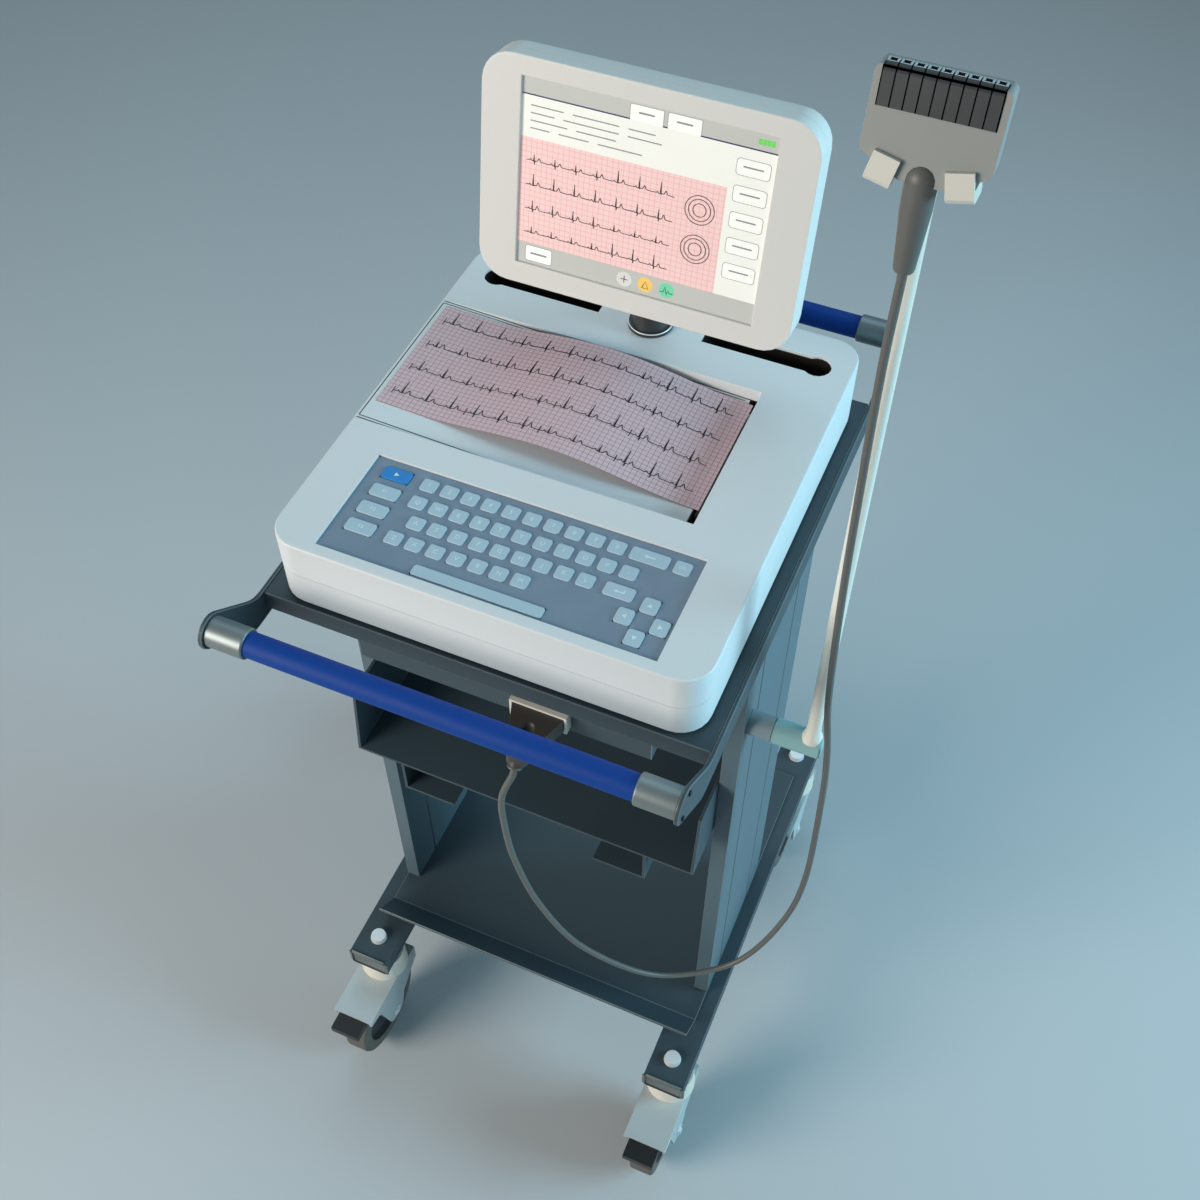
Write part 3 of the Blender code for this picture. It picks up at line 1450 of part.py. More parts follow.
# Thermal print head on its bracket, and the fan-fold chart pack in the tray
head_x = PLATEN_X + PLATEN_R + 2 * PAPER_T


def head_bar(bm):
    low = (head_x, PAPER_FRONT_Y, platen_z - HEAD_H / 2)
    add_box(bm, low, (head_x + HEAD_T, roller_back, platen_z + HEAD_H / 2))


def head_bracket(bm):
    middle = head_x + HEAD_T / 2
    low = (middle - HEAD_WEB / 2, PAPER_FRONT_Y + HEAD_WEB_INSET, case_floor + GAP)
    add_box(bm, low, (middle + HEAD_WEB / 2, roller_back - HEAD_WEB_INSET, platen_z))


print_head = shape("print_head", head_bar, root)
join(print_head, head_bracket)
finish(print_head, (0.50, 0.42, 0.30), 0.4, 0.5)


def pack_stack(bm):
    right = PLATEN_X - PLATEN_EAR_W
    low = (right - PACK_L, PAPER_FRONT_Y, case_floor + GAP)
    add_box(bm, low, (right, PAPER_BACK_Y, case_floor + GAP + PACK_H))


finish(shape("paper_pack", pack_stack, root), (0.85, 0.72, 0.72), 0.8)

# Chart paper lying on the door in a loose wave
paper_left = door_left + PAPER_SETBACK
paper_right = DOOR_RIGHT_X + DOOR_SLOT / 2


def paper_height(x):
    """Underside of the sheet: the ramp, and the wave that lifts it."""
    ramp = door_top - DOOR_DIP * (x - door_left) / (DOOR_RIGHT_X - door_left)
    along = (x - paper_left - PAPER_FLAT) / (paper_right - paper_left - PAPER_FLAT)
    wave = PAPER_HUMP * math.sin(math.pi * min(1.0, max(0.0, along))) ** 2
    return ramp + GAP + wave


paper_xs = [paper_left + (paper_right - paper_left) * k / PAPER_STEPS for k in range(PAPER_STEPS + 1)]
paper_outline = [(x, paper_height(x)) for x in paper_xs]
paper_outline += [(x, paper_height(x) + PAPER_T) for x in reversed(paper_xs)]
chart_paper = prism("chart_paper", paper_outline, "Y", PAPER_FRONT_Y, PAPER_BACK_Y, root)
finish(chart_paper, (0.88, 0.70, 0.71), 0.8)

# Main board on its standoffs, and the battery


def board(bm):
    low = (-BOARD_W / 2, board_front, board_low)
    add_box(bm, low, (BOARD_W / 2, board_front + BOARD_D, board_low + BOARD_T))


def battery(bm):
    back = case_back_y - CASE_WALL - BATTERY_SETBACK
    low = (-half_case + CASE_CORNER_R, back - BATTERY_D, case_floor + GAP)
    add_box(bm, low, (-half_case + CASE_CORNER_R + BATTERY_W, back, case_floor + GAP + BATTERY_H))


finish(shape("main_board", board, root), (0.03, 0.18, 0.09), 0.5)
finish(shape("battery_pack", battery, root), (0.12, 0.13, 0.15), 0.5)

# Display: the neck turns in the case top, and the screen tilts on the neck's hinge
swivel = frame("screen_swivel", root, (0, NECK_Y, case_top))
neck_profile = [
    (0, HINGE_RISE),
    (NECK_TOP_R, HINGE_RISE),
    (NECK_TOP_R, NECK_TAPER_H),
    (NECK_FOOT_R, GAP + NECK_BASE_H),
    (NECK_BASE_R, GAP + NECK_BASE_H),
    (NECK_BASE_R, GAP),
    (NECK_STUB_R, GAP),
    (NECK_STUB_R, -NECK_STUB_L),
    (0, -NECK_STUB_L),
]
monitor_neck = turned("monitor_neck", neck_profile, swivel, sides=32)


def hinge_barrel(bm):
    add_rod(bm, (-HINGE_W / 2, 0, HINGE_RISE), (HINGE_W / 2, 0, HINGE_RISE), HINGE_R)


def hinge_bore(bm):
    add_rod(bm, (-HINGE_W, 0, HINGE_RISE), (HINGE_W, 0, HINGE_RISE), HINGE_PIN_R + RUN)


join(monitor_neck, hinge_barrel)
cut(monitor_neck, hinge_bore)
finish(monitor_neck, (0.09, 0.09, 0.09), 0.45)

# In the screen's frame the hinge is the origin, Y runs from front to back and Z is up
screen = frame("screen_tilt", swivel, (0, 0, HINGE_RISE), SCREEN_TILT)
rear_back = -HINGE_BACK
rear_front = rear_back - REAR_T
bezel_back = rear_front - GAP
bezel_front = bezel_back - BEZEL_T
screen_low = -SCREEN_DROP
screen_high = screen_low + BEZEL_H
half_bezel = BEZEL_W / 2
bezel_plan = rounded_box((-half_bezel, screen_low), (half_bezel, screen_high), BEZEL_R, 6)
window_low = screen_low + WINDOW_LIFT
window_high = window_low + WINDOW_H
window_left = WINDOW_SHIFT - WINDOW_W / 2
window_right = WINDOW_SHIFT + WINDOW_W / 2

monitor_bezel = prism("monitor_bezel", bezel_plan, "Y", bezel_front, bezel_back, screen)


def window_cut(bm):
    low = (window_left, bezel_front - SHEET, window_low)
    add_box(bm, low, (window_right, bezel_back + SHEET, window_high))


def panel_pocket(bm):
    grow = PANEL_MARGIN + GAP
    low = (window_left - grow, bezel_front + BEZEL_FACE_T, window_low - grow)
    add_box(bm, low, (window_right + grow, bezel_back + SHEET, window_high + grow))


cut(monitor_bezel, window_cut)
cut(monitor_bezel, panel_pocket)
finish(monitor_bezel, CASE_WHITE, 0.4)


def panel_glass(bm):
    front = bezel_front + BEZEL_FACE_T + GAP
    low = (window_left - PANEL_MARGIN, front, window_low - PANEL_MARGIN)
    add_box(bm, low, (window_right + PANEL_MARGIN, front + PANEL_T, window_high + PANEL_MARGIN))


finish(shape("display_panel", panel_glass, screen), (0.85, 0.80, 0.80), 0.2)


monitor_rear_shell = prism("monitor_rear_shell", bezel_plan, "Y", rear_front, rear_back, screen)
round_rim(monitor_rear_shell, 1, rear_back, REAR_EDGE)
rear_inner = rounded_box(
    (-half_bezel + REAR_EDGE, screen_low + REAR_EDGE),
    (half_bezel - REAR_EDGE, screen_high - REAR_EDGE),
    BEZEL_R - REAR_EDGE,
    6,
)
hollow = prism("tool", rear_inner, "Y", rear_front - SHEET, rear_back - REAR_WALL, screen)
combine(monitor_rear_shell, hollow, "DIFFERENCE")
lug_in = HINGE_W / 2 + RUN


def lugs(bm):
    for sign in (-1, 1):
        low = min(sign * lug_in, sign * (lug_in + LUG_T))
        corner = (low, rear_back - REAR_WALL / 2, -HINGE_R)
        add_box(bm, corner, (low + LUG_T, LUG_BACK, HINGE_R))


def hinge_pin(bm):
    reach = lug_in + LUG_T / 2
    add_rod(bm, (-reach, 0, 0), (reach, 0, 0), HINGE_PIN_R)


join(monitor_rear_shell, lugs)
join(monitor_rear_shell, hinge_pin)
finish(monitor_rear_shell, CASE_WHITE, 0.4)

# Stand the machine on the floor with the middle of its footprint at the origin
bpy.context.view_layer.update()
depsgraph = bpy.context.evaluated_depsgraph_get()
corners = []
for obj in parts.objects:
    if obj.type != "MESH" or obj.name in ("cable_plug", "module_boot"):
        continue
    evaluated = obj.evaluated_get(depsgraph)
    mesh = evaluated.to_mesh()
    corners += [obj.matrix_world @ vert.co for vert in mesh.vertices]
    evaluated.to_mesh_clear()
middle = [(min(c[i] for c in corners) + max(c[i] for c in corners)) / 2 for i in range(2)]
root.location = (-middle[0], -middle[1], -min(c.z for c in corners))
bpy.context.view_layer.update()
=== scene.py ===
"""Looks of an ECG machine on its wheeled cart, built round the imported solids."""

import json
import math

import bpy
from mathutils import Matrix, Vector

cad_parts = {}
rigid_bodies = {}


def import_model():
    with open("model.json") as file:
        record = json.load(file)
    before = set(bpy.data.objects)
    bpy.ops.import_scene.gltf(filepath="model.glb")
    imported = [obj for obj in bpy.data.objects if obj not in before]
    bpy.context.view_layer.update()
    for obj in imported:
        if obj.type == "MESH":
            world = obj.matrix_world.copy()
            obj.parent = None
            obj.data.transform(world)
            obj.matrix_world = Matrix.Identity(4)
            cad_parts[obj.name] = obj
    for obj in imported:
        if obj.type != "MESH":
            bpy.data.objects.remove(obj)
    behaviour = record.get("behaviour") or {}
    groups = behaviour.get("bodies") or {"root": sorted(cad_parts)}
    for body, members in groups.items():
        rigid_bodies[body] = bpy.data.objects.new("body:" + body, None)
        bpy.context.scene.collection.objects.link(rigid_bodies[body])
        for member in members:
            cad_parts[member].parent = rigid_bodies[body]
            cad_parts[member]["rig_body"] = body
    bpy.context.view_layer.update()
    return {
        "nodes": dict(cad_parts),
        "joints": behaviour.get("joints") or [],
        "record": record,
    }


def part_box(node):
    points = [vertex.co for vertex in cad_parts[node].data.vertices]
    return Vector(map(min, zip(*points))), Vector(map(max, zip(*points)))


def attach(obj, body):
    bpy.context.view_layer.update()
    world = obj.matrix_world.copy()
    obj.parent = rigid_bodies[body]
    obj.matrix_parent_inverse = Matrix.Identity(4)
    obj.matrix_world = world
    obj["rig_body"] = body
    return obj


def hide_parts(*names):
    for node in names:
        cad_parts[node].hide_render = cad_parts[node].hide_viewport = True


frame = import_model()
bpy.ops.object.select_all(action="DESELECT")

# Casters. A zinc-plated fork pressed from sheet turns under the beam on a cream plastic
# race, held by a kingpin whose round head shows on top of the beam. A grey rubber tyre
# runs on a dark moulded centre, and the front pair carry black brake pedals.


def added(material, kind, settings):
    """A new node of a material, with the inputs that settings names set to its values."""
    node = material.node_tree.nodes.new(kind)
    for socket, value in settings.items():
        node.inputs[socket].default_value = value
    return node


def surface(
    name, colour, roughness, metallic=0.0, drift=0.05, cloud=8.0, grain=0.06, speck=900.0, pull=(1, 1, 1)
):
    """A finish whose colour and polish drift a little, under a fine moulded or sprayed grain."""
    material = bpy.data.materials.new(name)
    material.use_nodes = True
    link = material.node_tree.links.new
    shader = material.node_tree.nodes["Principled BSDF"]
    shader.inputs["Metallic"].default_value = metallic
    where = added(material, "ShaderNodeTexCoord", {})
    stretch = added(material, "ShaderNodeMapping", {"Scale": pull})
    link(where.outputs["Object"], stretch.inputs["Vector"])
    clouds = added(material, "ShaderNodeTexNoise", {"Scale": cloud, "Detail": 6.0})
    link(stretch.outputs["Vector"], clouds.inputs["Vector"])
    dark = (*[c * (1 - drift) for c in colour], 1.0)
    light = (*[min(1.0, c * (1 + drift)) for c in colour], 1.0)
    tint = added(material, "ShaderNodeMix", {6: dark, 7: light})
    tint.data_type = "RGBA"
    link(clouds.outputs["Fac"], tint.inputs[0])
    link(tint.outputs[2], shader.inputs["Base Color"])
    span = {"To Min": roughness - 0.07, "To Max": roughness + 0.07}
    polish = added(material, "ShaderNodeMapRange", span)
    link(clouds.outputs["Fac"], polish.inputs["Value"])
    link(polish.outputs["Result"], shader.inputs["Roughness"])
    specks = added(material, "ShaderNodeTexNoise", {"Scale": speck, "Detail": 2.0})
    link(stretch.outputs["Vector"], specks.inputs["Vector"])
    dents = added(material, "ShaderNodeBump", {"Strength": grain, "Distance": 0.0002})
    link(specks.outputs["Fac"], dents.inputs["Height"])
    link(dents.outputs["Normal"], shader.inputs["Normal"])
    return material


zinc = surface("zinc_plate", (0.50, 0.56, 0.58), 0.46, metallic=0.35, drift=0.07, cloud=25.0, grain=0.10)
race_cream = surface("race_cream", (0.72, 0.68, 0.60), 0.40)
bolt_steel = surface("bolt_steel", (0.76, 0.79, 0.82), 0.40, metallic=0.35, cloud=60.0)
tyre_rubber = surface(
    "tyre_rubber", (0.115, 0.108, 0.098), 0.72, drift=0.18, cloud=30.0, grain=0.25, speck=500.0
)
wheel_centre = surface("wheel_centre", (0.045, 0.047, 0.050), 0.55, cloud=40.0)
pedal_black = surface("pedal_black", (0.012, 0.012, 0.013), 0.45, grain=0.2, speck=1500.0)
node_slot = {row["node"]: row["material_slot"] for row in frame["record"]["subparts"]}


def settle(piece, body, slot, *finishes, smooth=35.0):
    """Shade a finished piece, give it its finishes and hang it on its body."""
    if piece.mode == "EDIT":
        bpy.ops.object.mode_set(mode="OBJECT")
    bpy.ops.object.select_all(action="DESELECT")
    bpy.context.view_layer.objects.active = piece
    piece.select_set(True)
    bpy.ops.object.shade_smooth_by_angle(angle=math.radians(smooth))
    even = piece.modifiers.new("even", "WEIGHTED_NORMAL")
    even.keep_sharp = True
    even.weight = 70
    bpy.ops.object.modifier_apply(modifier="even")
    for finish in finishes:
        piece.data.materials.append(finish)
    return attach(piece, body)


def copied(node):
    """A copy of a solid's mesh with its points merged and its flat faces whole again."""
    bpy.ops.object.select_all(action="DESELECT")
    piece = bpy.data.objects.new(node + "_shown", frame["nodes"][node].data.copy())
    piece.data.name = piece.name
    piece.data.materials.clear()
    bpy.context.scene.collection.objects.link(piece)
    bpy.context.view_layer.objects.active = piece
    piece.select_set(True)
    bpy.ops.mesh.customdata_custom_splitnormals_clear()
    bpy.ops.object.mode_set(mode="EDIT")
    bpy.ops.mesh.select_all(action="SELECT")
    bpy.ops.mesh.remove_doubles(threshold=0.00002)
    bpy.ops.mesh.dissolve_limited(angle_limit=math.radians(2.0))
    bpy.ops.object.mode_set(mode="OBJECT")
    return piece


def eased(piece, width, steps=2, sharp=30.0, highlight_edge=-1):
    """Take a piece's corners off as a press or a mould leaves them; the last argument picks the eased edges'
    finish, which is a painted highlight where it is paler.
    """
    ease = piece.modifiers.new("ease", "BEVEL")
    ease.width = width
    ease.segments = steps
    ease.limit_method = "ANGLE"
    ease.angle_limit = math.radians(sharp)
    ease.material = highlight_edge
    bpy.ops.object.modifier_apply(modifier="ease")


def dressed(node, *finishes, edge=0.0006, steps=2, sharp=35.0, highlight_edge=False):
    """A solid with eased corners, which can show the last finish on them as a paler painted highlight."""
    piece = copied(node)
    for finish in finishes:
        piece.data.materials.append(finish)
    eased(piece, edge, steps, sharp, len(finishes) - 1 if highlight_edge else -1)
    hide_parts(node)
    return settle(piece, frame["nodes"][node]["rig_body"], node_slot[node], smooth=sharp)


def repaint(piece, index, test):
    """Give the faces that pass a test another of the piece's finishes."""
    if piece.mode == "EDIT":
        bpy.ops.object.mode_set(mode="OBJECT")
    for face in piece.data.polygons:
        if test(face.center, face.normal):
            face.material_index = index


joint_at = {joint["name"]: Vector(joint.get("pos_m", (0, 0, 0))) for joint in frame["joints"]}
corners = [end + "_" + side for end in ("front", "rear") for side in ("left", "right")]
race_radius = 0.0305
race_foot = 0.1307
beam_low, beam_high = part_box("left_beam")
for corner in corners:
    stem = joint_at[corner + "_swivel"]
    fork = dressed(corner + "_fork", zinc, race_cream, bolt_steel, edge=0.0007)

    def in_race(at, way):
        return race_foot < at.z < beam_low.z + 0.001 and (at - stem).xy.length < race_radius

    repaint(fork, 1, in_race)
    repaint(fork, 2, lambda at, way: at.z > beam_high.z)


def begin(name):
    """Name the primitive just added and put its place into its mesh."""
    piece = bpy.context.object
    piece.name = name
    piece.data.name = name
    bpy.ops.object.transform_apply(location=True, rotation=True, scale=True)
    return piece


def pick(piece, test, edges=False):
    """Go into edit mode with those faces or edges selected whose middle and direction pass a test."""
    bpy.context.view_layer.objects.active = piece
    bpy.ops.object.mode_set(mode="EDIT")
    bpy.ops.mesh.select_mode(type="EDGE" if edges else "FACE")
    bpy.ops.mesh.select_all(action="DESELECT")
    bpy.ops.object.mode_set(mode="OBJECT")
    points = piece.data.vertices
    if edges:
        for line in piece.data.edges:
            a, b = (points[i].co for i in line.vertices)
            line.select = bool(test((a + b) / 2, b - a))
    else:
        for face in piece.data.polygons:
            face.select = bool(test(face.center, face.normal))
    bpy.ops.object.mode_set(mode="EDIT")


def rounded(piece, test, radius, steps):
    """Round off the edges that pass a test, staying in edit mode."""
    pick(piece, test, edges=True)
    bpy.ops.mesh.bevel(offset=radius, segments=steps)


def middle(node):
    """Middle of a solid's box."""
    low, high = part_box(node)
    return (low + high) / 2


def drum(name, centre, radius, length, sides=64):
    """A round bar lying across the cart."""
    bpy.ops.object.select_all(action="DESELECT")
    bpy.ops.mesh.primitive_cylinder_add(
        vertices=sides, radius=radius, depth=length, location=centre, rotation=(0, math.pi / 2, 0)
    )
    return begin(name)


tyre_width = 0.030
tread_round = 0.004
rim_radius = 0.046
rim_wall = 0.0015
hub_radius = 0.014
hub_root = 0.003
dish = 0.008
axle = middle("front_left_wheel")
low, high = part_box("front_left_wheel")
tyre_radius = (high.z - low.z) / 2
hub_reach = (high.x - low.x - tyre_width) / 2
wheel = drum("front_left_tyre", axle, tyre_radius, tyre_width, sides=96)
pick(wheel, lambda at, way: abs(way.x) > 0.9)
bpy.ops.mesh.inset(thickness=tyre_radius - rim_radius, use_individual=True)
bpy.ops.mesh.inset(thickness=rim_wall, depth=-dish, use_individual=True)
bpy.ops.mesh.inset(thickness=rim_radius - hub_radius - hub_root, use_individual=True)
bpy.ops.mesh.inset(thickness=rim_wall, depth=dish + hub_reach, use_individual=True)


def at_tread_edge(at, way):
    return abs((at - axle).yz.length - tyre_radius) < 0.0002 and abs(way.x) < 0.0001


rounded(wheel, at_tread_edge, tread_round, 5)
for finish in (tyre_rubber, wheel_centre, bolt_steel):
    wheel.data.materials.append(finish)
repaint(wheel, 1, lambda at, way: (at - axle).yz.length < rim_radius - 0.0001)
repaint(wheel, 2, lambda at, way: (at - axle).yz.length < hub_radius + 0.002)


def joined(name, pieces):
    """Several meshes made one piece."""
    bpy.ops.object.select_all(action="DESELECT")
    for piece in pieces:
        piece.select_set(True)
    bpy.context.view_layer.objects.active = pieces[0]
    if len(pieces) > 1:
        bpy.ops.object.join()
    pieces[0].name = name
    pieces[0].data.name = name
    return pieces[0]


nut_radius = 0.0085
nut_height = 0.005
nut_sunk = 0.0020
nut_flat = 0.0032
bolt_end = 0.0018
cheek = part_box("front_left_fork")[1].x - axle.x
nuts = []
for side in (-1, 1):
    spot = axle + Vector((side * (cheek - nut_height / 2 - nut_sunk), 0, 0))
    nut = drum("nut", spot, nut_radius, nut_height, sides=6)
    pick(nut, lambda at, way: way.x * side > 0.9)
    bpy.ops.mesh.inset(thickness=nut_flat)
    bpy.ops.mesh.inset(thickness=0.0004, depth=bolt_end)
    bpy.ops.object.mode_set(mode="OBJECT")
    nuts.append(nut)
axle_nuts = joined("front_left_axle_nuts", nuts)


def twin(piece, name, shift):
    """A copy of a piece with a mesh of its own, moved along."""
    other = piece.copy()
    other.data = piece.data.copy()
    other.name = name
    other.data.name = name
    other.data.transform(Matrix.Translation(shift))
    bpy.context.scene.collection.objects.link(other)
    return other


for corner in corners[1:]:
    shift = middle(corner + "_wheel") - axle
    other = twin(wheel, corner + "_tyre", shift)
    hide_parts(corner + "_wheel")
    settle(other, corner + "_roll", "tyre")
    settle(twin(axle_nuts, corner + "_axle_nuts", shift), corner + "_caster", "caster_steel", bolt_steel)
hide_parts("front_left_wheel")
settle(wheel, "front_left_roll", "tyre")
settle(axle_nuts, "front_left_caster", "caster_steel", bolt_steel)
for side in ("left", "right"):
    dressed("front_" + side + "_pedal", pedal_black, edge=0.0016, steps=3)

# Base. Two box-section beams, powder coated in slate with plastic caps pressed into their
# ends, carry a folded sheet pan whose front lip turns up. Eased edges are painted paler: painted highlight.
slate = surface("slate_paint", (0.033, 0.057, 0.074), 0.52, drift=0.10, cloud=6.0, grain=0.22, speck=700.0)
# paler finish for eased edges: a painted highlight where the sheet edges catch the light
edge_highlight_slate = surface(
    "edge_highlight_slate", (0.13, 0.165, 0.175), 0.42, metallic=0.1, drift=0.25, cloud=45.0, grain=0.1
)
end_cap = surface("end_cap", (0.13, 0.15, 0.155), 0.5, grain=0.15)
beam_wall = 0.0025
cap_gap = 0.0004
cap_sunk = 0.0006
for side in ("left", "right"):
    beam = dressed(side + "_beam", slate, end_cap, edge_highlight_slate, edge=0.0009, highlight_edge=True)
    low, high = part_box(side + "_beam")

    def at_end(at, way, reach):
        return abs(way.y) > 0.9 and (at.y < low.y + reach or at.y > high.y - reach)

    pick(beam, lambda at, way: at_end(at, way, 0.0005))
    bpy.ops.mesh.inset(thickness=beam_wall, use_individual=True)
    bpy.ops.mesh.inset(thickness=cap_gap, depth=-cap_sunk, use_individual=True)
    repaint(beam, 1, lambda at, way: at_end(at, way, 0.001))
dressed("base_pan", slate, edge_highlight_slate, edge=0.0008, highlight_edge=True)

# Columns and shelf. The columns are flat grooved extrusions in the slate coat, painted lighter and bluer as
# painted light from the cool side lamp; the shelf is a folded tray screwed between them, with two angle
# runners welded below it.
# the columns' slate painted lighter and bluer: painted light standing for the cool side lamp
column_slate_lit = surface(
    "column_slate_lit", (0.085, 0.135, 0.165), 0.45, drift=0.10, cloud=6.0, grain=0.22, speck=700.0
)
for side in ("left", "right"):
    dressed(side + "_column", column_slate_lit, edge_highlight_slate, edge=0.0005, highlight_edge=True)
dressed("shelf_tray", slate, edge_highlight_slate, edge=0.0007, highlight_edge=True)

# Table. A sheet with folded lips, closed at each side by a thick plate that sweeps up to
# the handles. Two small black socket screws hold each ferrule to the plate's nose.
dressed("top_plate", slate, edge_highlight_slate, edge=0.0009, highlight_edge=True)
for side in ("left", "right"):
    dressed(side + "_side_plate", slate, edge_highlight_slate, edge=0.0009, highlight_edge=True)
screw_black = surface("screw_black", (0.010, 0.010, 0.011), 0.4, metallic=0.3, cloud=80.0)


def screws(name, spots, radius, body, slot, finish):
    """Button-head socket screws at (place, facing) spots, as one piece."""
    made = []
    for place, facing in spots:
        turn = Vector((0, 0, 1)).rotation_difference(Vector(facing)).to_euler()
        bpy.ops.mesh.primitive_cylinder_add(
            vertices=24, radius=radius, depth=radius * 0.6, location=Vector(place), rotation=turn
        )
        head = begin("head")
        facing_way = Vector(facing).normalized()
        pick(head, lambda at, way: way.dot(facing_way) > 0.9)
        bpy.ops.mesh.inset(thickness=radius * 0.22, depth=radius * 0.16)
        bpy.ops.mesh.inset(thickness=radius * 0.30)
        bpy.ops.mesh.inset(thickness=radius * 0.03, depth=-radius * 0.4)
        bpy.ops.object.mode_set(mode="OBJECT")
        made.append(head)
    return settle(joined(name, made), body, slot, finish)


nose_way = math.radians(40.0)
screw_pitch = 0.0105
screw_proud = 0.0004
plate_spots = []
for end, outward in (("front", -1), ("rear", 1)):
    handle = middle(end + "_handle_tube")
    across = Vector((0, -math.sin(nose_way) * outward, math.cos(nose_way)))
    for side, sign in (("left", -1), ("right", 1)):
        low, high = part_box(side + "_side_plate")
        face = high.x if sign > 0 else low.x
        for step in (-1, 1):
            spot = handle + across * (step * screw_pitch)
            spot.x = face + sign * screw_proud
            plate_spots.append((spot, (sign, 0, 0)))
screws("ferrule_screws", plate_spots, 0.0024, "cart", "dark_plastic", screw_black)

# Handles. A steel tube in a blue rubber sleeve, held at each end in a satin grey metal
# ferrule whose mouth is rolled into a bead.
grip_blue = surface(
    "grip_blue", (0.0005, 0.044, 0.270), 0.60, drift=0.06, cloud=14.0, grain=0.30, speck=1800.0
)
ferrule_grey = surface("ferrule_grey", (0.20, 0.24, 0.25), 0.40, metallic=0.5, cloud=30.0, grain=0.03)
grip_blue.node_tree.nodes["Principled BSDF"].inputs["Specular IOR Level"].default_value = 0.22
mouth_gap = 0.0002
mouth_depth = 0.0195
for end in ("front", "rear"):
    low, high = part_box(end + "_handle_tube")
    tube_radius = (high.z - low.z) / 2
    spot = (low + high) / 2
    grip = drum(end + "_grip", spot, tube_radius, high.x - low.x)

    def at_grip_end(at, way):
        return abs((at - spot).yz.length - tube_radius) < 0.0002 and abs(way.x) < 0.0001

    rounded(grip, at_grip_end, 0.001, 3)
    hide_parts(end + "_handle_tube")
    settle(grip, "cart", "grip", grip_blue)
    for side, sign in (("left", -1), ("right", 1)):
        node = end + "_" + side + "_ferrule"
        low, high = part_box(node)
        ring = (low + high) / 2
        ring_radius = (high.z - low.z) / 2
        ferrule = drum(node + "_shown", ring, ring_radius, high.x - low.x)
        pick(ferrule, lambda at, way: way.x * sign < -0.9)
        bpy.ops.mesh.inset(thickness=ring_radius - tube_radius - mouth_gap)
        bpy.ops.mesh.inset(thickness=0.0001, depth=-mouth_depth)
        mouth = ring.x - sign * (high.x - low.x) / 2

        def at_mouth(at, way):
            return abs(at.x - mouth) < 0.0001 and (at - ring).yz.length > ring_radius - 0.0003

        rounded(ferrule, at_mouth, 0.0016, 5)
        foot = ring.x + sign * (high.x - low.x) / 2
        rounded(ferrule, lambda at, way: abs(at.x - foot) < 0.0001 and abs(way.x) < 0.0001, 0.0006, 2)
        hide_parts(node)
        settle(ferrule, "cart", "ferrule", ferrule_grey)

# Cable box. A folded steel box hangs under the table; an off-white socket in its front
# takes the flat wedge plug of the patient cable, a dark moulding with a thumb dish on top.
socket_white = surface("socket_white", (0.66, 0.65, 0.60), 0.40, grain=0.08)
plug_dark = surface("plug_dark", (0.050, 0.046, 0.042), 0.50, drift=0.12, grain=0.20)
dressed("junction_box", slate, edge_highlight_slate, edge=0.0007, highlight_edge=True)
dressed("cable_socket", socket_white, edge=0.0009)
plug = dressed("cable_plug", plug_dark, edge=0.0014, steps=3)


def cut_out(piece, tool):
    """Take a tool's shape out of a piece."""
    bpy.context.view_layer.objects.active = piece
    cut = piece.modifiers.new("cut", "BOOLEAN")
    cut.object = tool
    cut.solver = "EXACT"
    bpy.ops.object.modifier_apply(modifier="cut")
    bpy.data.objects.remove(tool)


thumb_out = 0.021
thumb_up = 0.0087
thumb_size = (0.0062, 0.0085, 0.0042)
thumb_at = middle("cable_socket") + Vector((0, 0, thumb_up))
thumb_at.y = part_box("cable_socket")[0].y - thumb_out
bpy.ops.object.select_all(action="DESELECT")
bpy.ops.mesh.primitive_uv_sphere_add(segments=40, ring_count=20, radius=1.0, location=thumb_at)
bpy.context.object.scale = thumb_size
cut_out(plug, begin("thumb_dish"))
settle(plug, "cart", "cable_jacket")

# Patient cable. One round jacketed lead leaves the lead module through a long tapered
# boot, hangs beside the pole in a loose loop and goes up into the plug's collar.
jacket = surface(
    "cable_jacket", (0.108, 0.110, 0.105), 0.46, drift=0.10, cloud=20.0, grain=0.12, speck=1500.0
)
cable_radius = 0.0032
cable_points = [
    (0.2278, -0.1118, 1.3190),
    (0.2261, -0.1057, 1.2381),
    (0.2277, -0.1048, 1.1333),
    (0.2309, -0.1028, 0.9958),
    (0.2369, -0.0998, 0.8567),
    (0.2453, -0.0958, 0.7720),
    (0.2497, -0.0928, 0.6864),
    (0.2512, -0.0918, 0.5244),
    (0.2369, -0.0993, 0.4241),
    (0.2039, -0.1188, 0.3452),
    (0.1554, -0.1473, 0.3232),
    (0.1053, -0.1768, 0.3448),
    (0.0474, -0.2108, 0.4324),
    (0.0131, -0.2308, 0.5363),
    (-0.0050, -0.2418, 0.6362),
    (-0.0096, -0.2468, 0.7100),
    (-0.0081, -0.2488, 0.7620),
    (0.0019, -0.2433, 0.7982),
]
boot_end = Vector((0.2278, -0.1118, 1.3250))
collar_end = Vector((0.0019, -0.2399, 0.8031))


def eased_line(points, span_steps):
    """Points along a smooth curve through the given ones."""
    route = [Vector(p) for p in points]
    ends = [2 * route[0] - route[1]] + route + [2 * route[-1] - route[-2]]
    line = []
    for a, b, c, d in zip(ends, ends[1:], ends[2:], ends[3:]):
        for k in range(span_steps):
            t = k / span_steps
            bend = 2 * b + (c - a) * t + (2 * a - 5 * b + 4 * c - d) * t * t
            line.append((bend + (3 * b - a - 3 * c + d) * t ** 3) / 2)
    line.append(route[-1])
    return line


